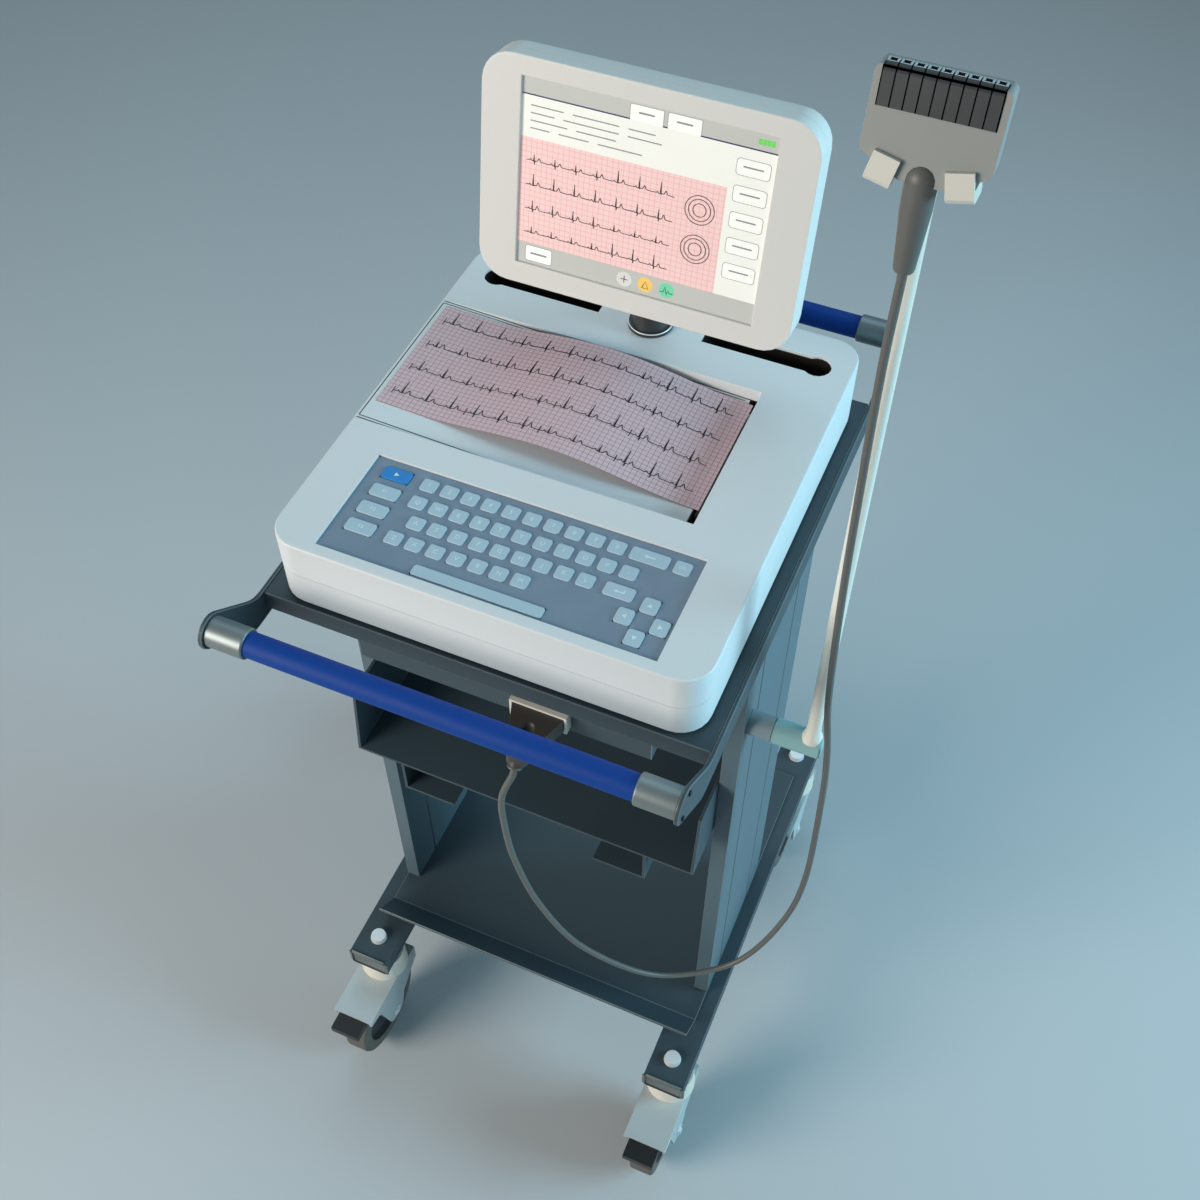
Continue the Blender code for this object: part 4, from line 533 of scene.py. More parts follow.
cable_line = [boot_end] + eased_line(cable_points, 16) + [collar_end]
lead_curve = bpy.data.curves.new("patient_lead", "CURVE")
lead_curve.dimensions = "3D"
lead_curve.bevel_depth = cable_radius
lead_curve.bevel_resolution = 5
lead_curve.use_fill_caps = True
spline = lead_curve.splines.new("POLY")
spline.points.add(len(cable_line) - 1)
for point, place in zip(spline.points, cable_line):
    point.co = (*place, 1)
spline.use_smooth = True
patient_lead = bpy.data.objects.new("patient_lead", lead_curve)
bpy.context.scene.collection.objects.link(patient_lead)
lead_curve.materials.append(jacket)
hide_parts("patient_cable")
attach(patient_lead, "cart")


def face_out():
    """Turn every face of the piece being edited outwards, and leave edit mode."""
    bpy.ops.mesh.select_all(action="SELECT")
    bpy.ops.mesh.normals_make_consistent(inside=False)
    bpy.ops.object.mode_set(mode="OBJECT")


def lathe(name, rings, sides=48):
    """A turned form: rings of (radius, height), from the bottom up, drawn out from a disc at the origin."""
    radius, height = rings[0]
    bpy.ops.object.select_all(action="DESELECT")
    bpy.ops.mesh.primitive_circle_add(
        vertices=sides, radius=radius, fill_type="NGON", location=(0, 0, height)
    )
    piece = begin(name)
    bpy.ops.object.mode_set(mode="EDIT")
    bpy.ops.mesh.select_all(action="SELECT")
    for wide, tall in rings[1:]:
        bpy.ops.mesh.extrude_region_move(TRANSFORM_OT_translate={"value": (0, 0, tall - height)})
        bpy.ops.transform.resize(value=(wide / radius, wide / radius, 1), center_override=(0, 0, tall))
        radius, height = wide, tall
    face_out()
    return piece


boot_low, boot_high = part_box("module_boot")
boot_mid = (boot_low + boot_high) / 2
boot_top_radius = (boot_high.x - boot_low.x) / 2
boot_height = boot_high.z - boot_low.z
dome_foot = boot_height - boot_top_radius
rings = [(0.0056, 0.0), (0.0065, 0.0003), (0.0068, 0.0014), (0.0082, 0.0220), (boot_top_radius, 0.0450)]
rings.append((boot_top_radius, dome_foot))
dome_steps = 9
for k in range(1, dome_steps):
    angle = math.pi / 2 * k / dome_steps
    rings.append((boot_top_radius * math.cos(angle), dome_foot + boot_top_radius * math.sin(angle)))
boot = lathe("cable_boot", rings)
boot.data.transform(Matrix.Translation((boot_mid.x, boot_mid.y, boot_low.z)))
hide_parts("module_boot")
settle(boot, "cart", "cable_jacket", jacket, smooth=50)
collar_drop = math.radians(55.0)
collar_way = Vector((0, -math.cos(collar_drop), -math.sin(collar_drop)))
bead_back = 0.0022
bpy.ops.object.select_all(action="DESELECT")
bpy.ops.mesh.primitive_torus_add(
    major_segments=40,
    minor_segments=14,
    major_radius=0.0057,
    minor_radius=0.0013,
    location=collar_end - collar_way * bead_back,
    rotation=Vector((0, 0, 1)).rotation_difference(collar_way).to_euler(),
)
bead = begin("plug_bead")
settle(bead, "cart", "cable_jacket", jacket, smooth=60)

# Cable arm and pole. A painted arm stands off the right column; its root by the column, up to a fine ring
# seam, is painted darker as painted shade. The cream pole rises from it through a small flared foot.
arm_paint = surface("arm_paint", (0.25, 0.46, 0.49), 0.42, grain=0.12)
# darker copy of the arm paint for the arm's root by the column: painted shade
arm_painted_shade = surface("arm_painted_shade", (0.22, 0.30, 0.34), 0.45, grain=0.15)
pole_paint = surface("pole_paint", (0.76, 0.74, 0.67), 0.34, cloud=12.0, grain=0.06)
low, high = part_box("cable_arm")
arm_mid = (low + high) / 2
arm_radius = (high.z - low.z) / 2
seam_from_column = 0.0231
along_x = Matrix.Rotation(math.pi / 2, 4, "Y")
place = Matrix.Translation((low.x, arm_mid.y, arm_mid.z)) @ along_x
arm_root = lathe("arm_shaded_root", [(arm_radius - 0.0004, 0.0), (arm_radius - 0.0004, seam_from_column)])
arm_root.data.transform(place)
settle(arm_root, "cart", "arm_paint", arm_painted_shade)
arm_length = high.x - low.x
arm = lathe("arm_bar", [
    (arm_radius - 0.0018, seam_from_column - 0.004),
    (arm_radius - 0.0018, seam_from_column + 0.0008),
    (arm_radius - 0.0006, seam_from_column + 0.0008),
    (arm_radius, seam_from_column + 0.0014),
    (arm_radius, arm_length - 0.0022),
    (arm_radius - 0.0007, arm_length - 0.0007),
    (arm_radius - 0.0022, arm_length),
], sides=64)
arm.data.transform(place)
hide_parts("cable_arm")
settle(arm, "cart", "arm_paint", arm_paint)
low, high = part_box("pole")
pole_mid = (low + high) / 2
pole_radius = (high.x - low.x) / 2
foot_top = arm_mid.z + arm_radius - low.z
pole = lathe("pole_tube", [
    (pole_radius, 0.0),
    (pole_radius, foot_top - 0.004),
    (0.0105, foot_top - 0.0035),
    (0.0090, foot_top + 0.0012),
    (0.0078, foot_top + 0.0042),
    (0.0070, foot_top + 0.0090),
    (pole_radius, foot_top + 0.0170),
    (pole_radius, high.z - low.z - 0.001),
    (pole_radius - 0.001, high.z - low.z),
], sides=48)
pole.data.transform(Matrix.Translation((pole_mid.x, pole_mid.y, low.z)))
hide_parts("pole")
settle(pole, "cart", "pole_paint", pole_paint, smooth=40)

# Lead module. A mid-grey moulded box leans back in an off-white cradle with two hooks.
# Nine dark lead sockets stand in a row in its face, each with a pale top and an oval hole whose floor is
# painted black as painted shade.
module_grey = surface("module_grey", (0.29, 0.305, 0.300), 0.46, drift=0.06, grain=0.22, speck=1100.0)
block_dark = surface("block_dark", (0.050, 0.056, 0.060), 0.42, drift=0.10, cloud=40.0, grain=0.12)
block_top = surface("block_top", (0.56, 0.64, 0.67), 0.40, grain=0.05)
# near-black for the socket hole floors: painted shade
socket_hole_shade = surface("socket_hole_shade", (0.004, 0.004, 0.005), 0.6)
dressed("module_cradle", socket_white, edge=0.0013, steps=3)
dressed("module_case", module_grey, edge=0.0013, steps=3, sharp=32)
module_place = Matrix.Translation((0.2278, -0.114787, 1.4015))
module_turn = module_place @ Matrix.Rotation(math.radians(-12.5), 4, "X")


def block(name, centre, size):
    """A box of a given size about a place."""
    bpy.ops.object.select_all(action="DESELECT")
    bpy.ops.mesh.primitive_cube_add(size=1.0, location=centre)
    bpy.context.object.scale = size
    return begin(name)


lead_count = 9
lead_pitch = 0.00755
lead_width = 0.0067
lead_front = -0.0012
lead_back = 0.0108
lead_foot = 0.0265
lead_head = 0.0502
lead_slope = 0.0042
hole_wall = 0.0014
hole_round = 0.0011
hole_depth = 0.004
spine_thick = 0.004
lead_mid = (lead_foot + lead_head) / 2
lead_size = (lead_width, lead_back - lead_front, lead_head - lead_foot)


def at_front_top(at, way):
    return at.y < lead_front + 0.0001 and at.z > lead_head - 0.0001


lead_blocks = []
for k in range(lead_count):
    x = (k - (lead_count - 1) / 2) * lead_pitch
    lead_block = block("lead_block", (x, (lead_front + lead_back) / 2, lead_mid), lead_size)
    rounded(lead_block, at_front_top, lead_slope, 1)
    pick(lead_block, lambda at, way: way.z > 0.9)
    bpy.ops.mesh.inset(thickness=hole_wall)
    bpy.ops.mesh.bevel(offset=hole_round, segments=4, affect="VERTICES")
    bpy.ops.mesh.inset(thickness=0.0001, depth=-hole_depth)
    bpy.ops.object.mode_set(mode="OBJECT")
    lead_blocks.append(lead_block)
spine_size = (lead_count * lead_pitch, spine_thick, lead_head - lead_foot - 0.002)
spine = block("lead_spine", (0, lead_back - spine_thick / 2, lead_mid - 0.001), spine_size)
leads = joined("lead_blocks", [spine] + lead_blocks)
eased(leads, 0.0003)
for finish in (block_dark, block_top, socket_hole_shade):
    leads.data.materials.append(finish)
repaint(leads, 1, lambda at, way: way.z > 0.9 and at.z > lead_head - 0.0005)
# the floor of each socket hole painted near-black: painted shade
repaint(leads, 2, lambda at, way: way.z > 0.9 and lead_head - 0.0045 < at.z < lead_head - 0.0005)
leads.data.transform(module_turn)
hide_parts("lead_connectors")
settle(leads, "cart", "lead_block")

# Recorder case. Two injection-moulded shells in satin off-white meet at a fine seam half
# way up; the lower one stands on rubber feet. The two carry slots are closed by pockets painted near-black:
# painted shade.
case_white = surface(
    "case_white", (0.66, 0.705, 0.735), 0.40, drift=0.025, cloud=4.0, grain=0.12, speck=1300.0
)
foot_rubber = surface("foot_rubber", (0.030, 0.030, 0.032), 0.70, grain=0.20)
# near-black: own colour of the mains inlet, rocker and lid grooves; painted shade in the carry pockets and
# vent slits
near_black_and_painted_shade = surface("near_black_and_painted_shade", (0.016, 0.013, 0.011), 0.50, drift=0.20, grain=0.15)
lower_shell = dressed("base_case", case_white, foot_rubber, edge=0.0005)
feet_top = 0.9024
repaint(lower_shell, 1, lambda at, way: at.z < feet_top)
dressed("top_case", case_white, edge=0.0004)
case_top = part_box("top_case")[1].z
slot_y = 0.1692133
pocket_width = 0.0310
pocket_depth = 0.0215
pocket_round = 0.0140
pocket_wall = 0.0012
pocket_roof = case_top - 0.0033
for side, start, end in (("left", -0.2165, -0.0875), ("right", 0.0113, 0.1403)):
    spot = ((start + end) / 2, slot_y, pocket_roof - pocket_depth / 2)
    pocket = block(side + "_carry_pocket", spot, (end - start, pocket_width, pocket_depth))
    rounded(pocket, lambda at, way: abs(way.z) > 0.01, pocket_round, 8)
    pick(pocket, lambda at, way: way.z > 0.9)
    bpy.ops.mesh.inset(thickness=pocket_wall)
    bpy.ops.mesh.inset(thickness=0.0008, depth=pocket_wall - pocket_depth)
    # carry pockets painted near-black: painted shade in the deep slots
    settle(pocket, "cart", "dark_plastic", near_black_and_painted_shade)

# Rear sockets. A dark plate screwed to the back of the lower shell holds the mains inlet,
# a rocker switch, two round data sockets and an earth stud.
plate_dark = surface("plate_dark", (0.035, 0.037, 0.040), 0.48, grain=0.18, speck=1500.0)
rear_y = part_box("base_case")[1].y
plate_mid = Vector((-0.1100, rear_y, 0.9195))


def fitting(name, x, size, depth, recess, corner, floor_inset):
    """A moulded block on the rear plate with a rounded outline and a recessed face."""
    moulding = block(name, (x, rear_y + depth / 2, plate_mid.z), (size[0], depth, size[1]))
    rounded(moulding, lambda at, way: abs(way.y) > 0.0001, corner, 5)
    pick(moulding, lambda at, way: way.y > 0.9)
    bpy.ops.mesh.inset(thickness=floor_inset)
    if recess:
        bpy.ops.mesh.inset(thickness=0.0004, depth=recess)
    bpy.ops.object.mode_set(mode="OBJECT")
    return moulding


plate = fitting("rear_plate", plate_mid.x, (0.1300, 0.0280), 0.0012, 0.0, 0.0025, 0.0008)
settle(plate, "cart", "dark_plastic", plate_dark)
inlet = [fitting("inlet", -0.1560, (0.0275, 0.0200), 0.0050, -0.0036, 0.0030, 0.0016)]
for x, z in ((-0.1630, 0.0), (-0.1560, 0.0032), (-0.1490, 0.0)):
    pin = fitting("pin", x, (0.0018, 0.0048), 0.0040, 0.0, 0.0004, 0.0003)
    pin.data.transform(Matrix.Translation((0, 0, z)))
    inlet.append(pin)
settle(joined("mains_inlet", inlet), "cart", "dark_plastic", near_black_and_painted_shade)
rocker = fitting("power_rocker", -0.1290, (0.0130, 0.0200), 0.0042, -0.0012, 0.0015, 0.0018)
settle(rocker, "cart", "dark_plastic", near_black_and_painted_shade)
rounds = []
for x in (-0.1075, -0.0880):
    rounds.append(fitting("socket", x, (0.0140, 0.0140), 0.0040, -0.0030, 0.0069, 0.0022))
rounds.append(fitting("stud", -0.0660, (0.0080, 0.0080), 0.0090, -0.0010, 0.0039, 0.0010))
settle(joined("data_sockets", rounds), "cart", "head_metal", bolt_steel)
plate_screws = []
for x in (plate_mid.x - 0.0600, plate_mid.x + 0.0600):
    plate_screws.append(((x, rear_y + 0.0014, plate_mid.z), (0, 1, 0)))
screws("plate_screws", plate_screws, 0.0022, "cart", "dark_plastic", screw_black)

# Key mat. One moulded rubber mat in speckled blue-grey lies under a window in the case,
# with paler softly rounded keys and fine printed legends; the first key is blue.
mat_blue = surface("mat_blue", (0.185, 0.255, 0.340), 0.62, drift=0.14, cloud=40.0, grain=0.35, speck=2200.0)
key_pale = surface("key_pale", (0.400, 0.550, 0.645), 0.50, drift=0.05, cloud=30.0, grain=0.15, speck=2000.0)
key_strong = surface("key_strong", (0.008, 0.215, 0.600), 0.45, drift=0.05, grain=0.15)
legend_pale = surface("legend_pale", (0.66, 0.78, 0.84), 0.55, drift=0.03)
mat = copied("keypad")
key_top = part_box("keypad")[1].z
key_height = 0.0012
mat_top = key_top - key_height
pick(mat, lambda at, way: at.z > mat_top + 0.00005)
bpy.ops.mesh.delete(type="FACE")
bpy.ops.mesh.select_all(action="SELECT")
bpy.ops.mesh.fill_holes(sides=0)
face_out()
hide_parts("keypad")
settle(mat, "cart", "key_mat", mat_blue)
key_corner = 0.0026
key_rim = 0.0006


def key_cap(name, centre, width, depth, foot, top):
    """A key with rounded corners and a softened rim, standing on the mat."""
    cap = block(name, (centre[0], centre[1], (foot + top) / 2), (width, depth, top - foot))
    rounded(cap, lambda at, way: abs(way.z) > 0.0001, key_corner, 5)
    rounded(cap, lambda at, way: at.z > top - 0.00001 and abs(way.z) < 0.00001, key_rim, 3)
    bpy.ops.object.mode_set(mode="OBJECT")
    return cap


key_pitch = 0.01943
key_row = 0.02145
key_wide = 0.0146
key_deep = 0.0138
first_key_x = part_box("function_key_1")[1].x + 0.01095 + key_wide / 2
first_key_y = middle("blue_key").y
rows = [("1234567890", 0.0), ("QWERTYUIOP-", 0.0), ("ASDFGHJKL", 0.5), ("ZXCVBNM", 0.0)]


def lettering(words, place, height, thick=0.00004):
    """Printed characters lying flat about a place, a hair thick."""
    bpy.ops.object.select_all(action="DESELECT")
    bpy.ops.object.text_add(location=place)
    characters = bpy.context.object.data
    characters.body = words
    characters.size = height
    characters.extrude = thick
    characters.resolution_u = 3
    characters.align_x = "CENTER"
    characters.align_y = "CENTER"
    bpy.ops.object.convert(target="MESH")
    return begin("lettering")


def mark(place, outline, thick=0.00008):
    """A small printed shape lying flat, from its outline in metres."""
    bpy.ops.object.select_all(action="DESELECT")
    bpy.ops.mesh.primitive_circle_add(vertices=len(outline), radius=1.0, fill_type="NGON")
    sign = bpy.context.object
    for point, (x, y) in zip(sign.data.vertices, outline):
        point.co = (place[0] + x, place[1] + y, place[2])
    bpy.ops.object.mode_set(mode="EDIT")
    bpy.ops.mesh.select_all(action="SELECT")
    bpy.ops.mesh.extrude_region_move(TRANSFORM_OT_translate={"value": (0, 0, thick)})
    face_out()
    return begin("mark")


key_foot = mat_top - 0.0004
model_cap = key_cap("cap", (first_key_x, first_key_y), key_wide, key_deep, key_foot, key_top)
caps = []
prints = []
for row, (letters, indent) in enumerate(rows):
    for k, letter in enumerate(letters):
        shift = Vector(((k + indent) * key_pitch, -row * key_row, 0))
        caps.append(twin(model_cap, "cap", shift))
        spot = Vector((first_key_x, first_key_y, key_top)) + shift
        prints.append(lettering(letter, spot, 0.0062))
bpy.data.objects.remove(model_cap)
tenth_x = first_key_x + 9 * key_pitch
end_x = first_key_x + 12 * key_pitch
rubout_wide = end_x - tenth_x - 2 * key_pitch + key_wide
rubout_spot = ((end_x + tenth_x) / 2, first_key_y)
enter_wide = 0.0260
enter_gap = 0.00924
last_letter_edge = first_key_x + 8.5 * key_pitch + key_wide / 2
enter_spot = (last_letter_edge + enter_gap + enter_wide / 2, first_key_y - 2 * key_row)
caps.append(key_cap("cap", rubout_spot, rubout_wide, key_deep, key_foot, key_top))
caps.append(key_cap("cap", (end_x, first_key_y), key_wide, key_deep, key_foot, key_top))
caps.append(key_cap("cap", enter_spot, enter_wide, key_deep, key_foot, key_top))
left_arrow = [(-0.005, 0), (-0.002, 0.002), (-0.002, 0.0006), (0.005, 0.0006)]
left_arrow += [(0.005, -0.0006), (-0.002, -0.0006), (-0.002, -0.002)]
return_arrow = [(-0.0045, -0.0006), (-0.0018, 0.0012), (-0.0018, 0), (0.0035, 0), (0.0035, 0.0022)]
return_arrow += [(0.0047, 0.0022), (0.0047, -0.0012), (-0.0018, -0.0012), (-0.0018, -0.0024)]
prints.append(mark((*rubout_spot, key_top), left_arrow))
prints.append(mark((*enter_spot, key_top), return_arrow))
prints.append(lettering("DEL", (end_x, first_key_y, key_top), 0.0040))
settle(joined("letter_keys", caps), "cart", "key_mat", key_pale)
settle(joined("key_legends", prints), "cart", "key_mat", legend_pale)
ways = {"up_key": (0, 1), "down_key": (0, -1), "left_key": (-1, 0), "right_key": (1, 0)}
moving_keys = ["blue_key", "function_key_1", "function_key_2", "function_key_3", "space_bar"] + list(ways)
for node in moving_keys:
    low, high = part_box(node)
    spot = (low + high) / 2
    cap = key_cap(node + "_cap", spot, high.x - low.x, high.y - low.y, low.z, high.z)
    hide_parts(node)
    body = frame["nodes"][node]["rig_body"]
    settle(cap, body, node_slot[node], key_strong if node == "blue_key" else key_pale)
    face = (spot.x, spot.y, high.z)
    if node in ways:
        x, y = ways[node]
        tip, base, half = 0.0023, -0.0017, 0.0024
        arrow = [(x * tip, y * tip), (x * base - y * half, y * base + x * half)]
        arrow.append((x * base + y * half, y * base - x * half))
        sign = mark(face, arrow)
    elif node == "blue_key":
        sign = mark(face, [(-0.0018, -0.0023), (0.0024, 0), (-0.0018, 0.0023)])
    elif node == "space_bar":
        continue
    else:
        sign = lettering("F" + node[-1], face, 0.0054)
    sign.name = node + "_legend"
    sign.data.name = sign.name
    settle(sign, body, node_slot[node], legend_pale)

# Chart writer. A ramped lid in the case's own plastic, with fine lines along its rim, carries
# the paper; its roller, gear, motor and head are inside, with the folded chart pack, the
# board and the battery below.
dressed("printer_door", case_white, edge=0.0005)
lid_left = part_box("printer_door")[0].x
lid_right = 0.0799
lid_front = -0.0565867
lid_back = 0.1160133
lid_dip = 0.0125


def lid_height(x):
    """Top of the ramped lid at a place along it."""
    return case_top - lid_dip * (x - lid_left) / (lid_right - lid_left)


def inked(name, lines, width, lay):
    """Thin ribbons of paint or ink along flat lines; lay puts a point (along, across) on its surface."""
    points = []
    faces = []
    for line in lines:
        for k, (x, y) in enumerate(line):
            before = line[max(0, k - 1)]
            after = line[min(len(line) - 1, k + 1)]
            run = math.hypot(after[0] - before[0], after[1] - before[1])
            side_x = -(after[1] - before[1]) / run * width / 2
            side_y = (after[0] - before[0]) / run * width / 2
            points.append(lay(x + side_x, y + side_y))
            points.append(lay(x - side_x, y - side_y))
            if k:
                last = len(points) - 1
                faces.append((last - 3, last - 2, last, last - 1))
    mesh = bpy.data.meshes.new(name)
    mesh.from_pydata(points, [], faces)
    piece = bpy.data.objects.new(name, mesh)
    bpy.context.scene.collection.objects.link(piece)
    return piece


def lid_line(start, end, y):
    return [(start + (end - start) * k / 12, y) for k in range(13)]


seam_left = lid_left + 0.003
seam_inset = 0.0007
line_left = -0.2316
line_right = lid_right - 0.004
line_inset = 0.0036
groove_lines = []
for y, inward in ((lid_back, -1), (lid_front, 1)):
    groove_lines.append(lid_line(seam_left, lid_right, y + inward * seam_inset))
    groove_lines.append(lid_line(line_left, line_right, y + inward * line_inset))
groove_lines.append([(line_left, lid_front + line_inset), (line_left, lid_back - line_inset)])
grooves = inked("lid_groove", groove_lines, 0.0009, lambda x, y: (x, y, lid_height(x) + 0.00010))
settle(grooves, "door", "dark_plastic", near_black_and_painted_shade)
inner_finishes = {
    "platen_roller": surface("roller_rubber", (0.030, 0.030, 0.032), 0.65, cloud=60.0, grain=0.2),
    "motor_pinion": surface("gear_brass", (0.62, 0.45, 0.19), 0.30, metallic=0.95, cloud=90.0),
    "drive_motor": surface("motor_steel", (0.55, 0.56, 0.57), 0.34, metallic=0.9, cloud=50.0),
    "print_head": surface("head_metal", (0.42, 0.43, 0.45), 0.36, metallic=0.85, cloud=50.0),
    "paper_pack": surface(
        "pack_paper", (0.80, 0.70, 0.69), 0.80, cloud=30.0, grain=0.5, speck=400.0, pull=(0.05, 0.05, 8)
    ),
    "main_board": surface("board_green", (0.016, 0.115, 0.050), 0.42, drift=0.25, cloud=120.0, grain=0.15),
    "battery_pack": surface("battery_wrap", (0.030, 0.034, 0.042), 0.38, cloud=20.0),
}
for node, finish in inner_finishes.items():
    for holder in frame["nodes"][node].material_slots:
        holder.material = finish

# Chart paper. A strip of heat-sensitive paper printed with a pink millimetre grid leaves the
# slot at the right, lifts in a loose wave and lies on the lid; four black traces run along it.
chart_left = -0.2266
chart_right = 0.0849
chart_front = -0.0307867
chart_back = 0.1092133
chart_thick = 0.0003
chart_gap = 0.0003
chart_flat_start = 0.038
chart_hump = 0.013


def chart_height(x):
    """Top of the paper at a place along it: the lid's slope and the wave over it."""
    along = (x - chart_left - chart_flat_start) / (chart_right - chart_left - chart_flat_start)
    wave = chart_hump * math.sin(math.pi * min(1.0, max(0.0, along))) ** 2
    return lid_height(x) + chart_gap + wave + chart_thick


chart_steps = 240
chart_xs = [chart_left + (chart_right - chart_left) * k / chart_steps for k in range(chart_steps + 1)]
chart_run = [0.0]
for a, b in zip(chart_xs, chart_xs[1:]):
    chart_run.append(chart_run[-1] + math.hypot(b - a, chart_height(b) - chart_height(a)))
chart_width = chart_back - chart_front
bpy.ops.object.select_all(action="DESELECT")
bpy.ops.mesh.primitive_grid_add(x_subdivisions=chart_steps, y_subdivisions=24, size=1.0)
bpy.context.object.scale = (chart_right - chart_left, chart_width, 1)
bpy.context.object.location = ((chart_left + chart_right) / 2, (chart_front + chart_back) / 2, 0)
chart = begin("chart_sheet")
for point in chart.data.vertices:
    point.co.z = chart_height(point.co.x) - chart_thick
chart_map = chart.data.uv_layers.active.data
for loop in chart.data.loops:
    place = chart.data.vertices[loop.vertex_index].co
    column = round((place.x - chart_left) / (chart_right - chart_left) * chart_steps)
    chart_map[loop.index].uv = (chart_run[column] * 1000, (place.y - chart_front) * 1000)
thicken = chart.modifiers.new("thicken", "SOLIDIFY")
thicken.thickness = chart_thick
thicken.offset = 1.0
bpy.ops.object.modifier_apply(modifier="thicken")


def grid_finish(name, ground, fine_line, bold_line, roughness, glow=0.0):
    """Printed millimetre grid on a UV map in millimetres: fine lines each 1, bolder ones each 5."""
    material = surface(name, ground, roughness, drift=0.03, cloud=12.0, grain=0.10)
    link = material.node_tree.links.new
    shader = material.node_tree.nodes["Principled BSDF"]
    under = shader.inputs["Base Color"].links[0].from_socket
    where = added(material, "ShaderNodeUVMap", {})
    black = (0, 0, 0, 1)
    white = (1, 1, 1, 1)
    for spacing, line, width in ((1.0, fine_line, 0.05), (5.0, bold_line, 0.26)):
        squares = {"Brick Width": spacing, "Row Height": spacing, "Scale": 1.0}
        squares.update({"Color1": black, "Color2": black, "Mortar": white})
        squares.update({"Mortar Size": width, "Mortar Smooth": 0.3})
        grid = added(material, "ShaderNodeTexBrick", squares)
        grid.offset = 0.0
        link(where.outputs["UV"], grid.inputs["Vector"])
        ink = added(material, "ShaderNodeMix", {7: (*line, 1)})
        ink.data_type = "RGBA"
        link(under, ink.inputs[6])
        link(grid.outputs["Color"], ink.inputs[0])
        under = ink.outputs[2]
    link(under, shader.inputs["Base Color"])
    if glow:
        link(under, shader.inputs["Emission Color"])
        shader.inputs["Emission Strength"].default_value = glow
    return material


chart_pink = grid_finish("chart_pink", (0.65, 0.500, 0.540), (0.55, 0.410, 0.460), (0.36, 0.145, 0.185), 0.75)
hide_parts("chart_paper")
settle(chart, "door", "paper", chart_pink)


def beat(t, seed):
    """Height of a heart trace, 0 at rest, a given part t of the way through one beat."""
    lift = 0.11 * math.exp(-((t - 0.20) / 0.030) ** 2)
    lift -= 0.10 * math.exp(-((t - 0.335) / 0.010) ** 2)
    lift += (0.95 - 0.22 * (seed % 3)) * math.exp(-((t - 0.355) / 0.013) ** 2)
    lift -= (0.12 + 0.20 * (seed % 2)) * math.exp(-((t - 0.380) / 0.012) ** 2)
    lift += (0.22 + 0.05 * (seed % 4)) * math.exp(-((t - 0.600) / 0.055) ** 2)
    return lift + 0.012 * math.sin(19.0 * t + seed)


def trace_points(start, end, base, gain, beats, seed, parts):
    """One row of the record: an even run of beats, the lead changing at each part of the row."""
    steps = beats * 90
    points = []
    for k in range(steps + 1):
        share = k / steps
        lead = seed + int(share * parts * 0.9999)
        height = base + gain * beat((share * beats) % 1.0, lead)
        points.append((start + (end - start) * share, height))
    return points


ink_black = surface("ink_black", (0.012, 0.011, 0.012), 0.6)
row_count = 4
row_parts = 4
row_gap = chart_width / (row_count + 0.15)
trace_left = chart_left + 0.008
trace_right = chart_right - 0.012
trace_gain = 0.0165
trace_beats = 12
trace_width = 0.00085
chart_lines = []
for row in range(row_count):
    base = chart_back - row_gap * (row + 0.62)
    beats = trace_points(trace_left, trace_right, base, trace_gain, trace_beats, row * 2, row_parts)
    chart_lines.append(beats)
    for part in range(row_parts):
        x = trace_left + (trace_right - trace_left) * part / row_parts
        chart_lines.append([(x, base - 0.004), (x, base + 0.005)])
chart_ink = inked("chart_traces", chart_lines, trace_width, lambda x, y: (x, y, chart_height(x) + 0.00012))
settle(chart_ink, "door", "paper", ink_black)

# Display. A dark turned neck with a pale rim swivels in the case top; on its hinge tilts a
# two-shell off-white housing with rounded edges round a lit panel under matt glass.
neck_dark = surface("neck_dark", (0.028, 0.030, 0.032), 0.40, cloud=30.0, grain=0.10)
dressed("monitor_neck", neck_dark, edge=0.0006, sharp=40)
neck_at = joint_at["monitor_swivel"]
bpy.ops.mesh.primitive_torus_add(
    major_segments=64,
    minor_segments=12,
    major_radius=0.0210,
    minor_radius=0.0006,
    location=(neck_at.x, neck_at.y, case_top + 0.0040),
)
settle(begin("neck_rim"), "neck", "screen", bolt_steel, smooth=60)
screen_place = Matrix.Translation((-0.0381, 0.1632133, 1.088))
screen_turn = screen_place @ Matrix.Rotation(math.radians(-10.07), 4, "X")
screen_back = screen_turn.inverted()
screen_white = surface(
    "screen_white", (0.70, 0.70, 0.69), 0.42, drift=0.02, cloud=4.0, grain=0.20, speck=1300.0
)
housing_front = -0.0473
housing_half = 0.1485
housing_low = -0.0655
housing_high = 0.1435
housing_round = 0.028
housing_mid = (housing_low + housing_high) / 2


def outer_rim(at):
    """How far inside the housing's rounded outline a point lies."""
    x = max(0.0, abs(at.x) - (housing_half - housing_round))
    z = max(0.0, abs(at.z - housing_mid) - (housing_high - housing_mid - housing_round))
    return housing_round - math.hypot(x, z)


def front_edge(at, way):
    """Whether an edge lies along the housing's front."""
    return at.y < housing_front + 0.0001 and abs(way.y) < 0.0001


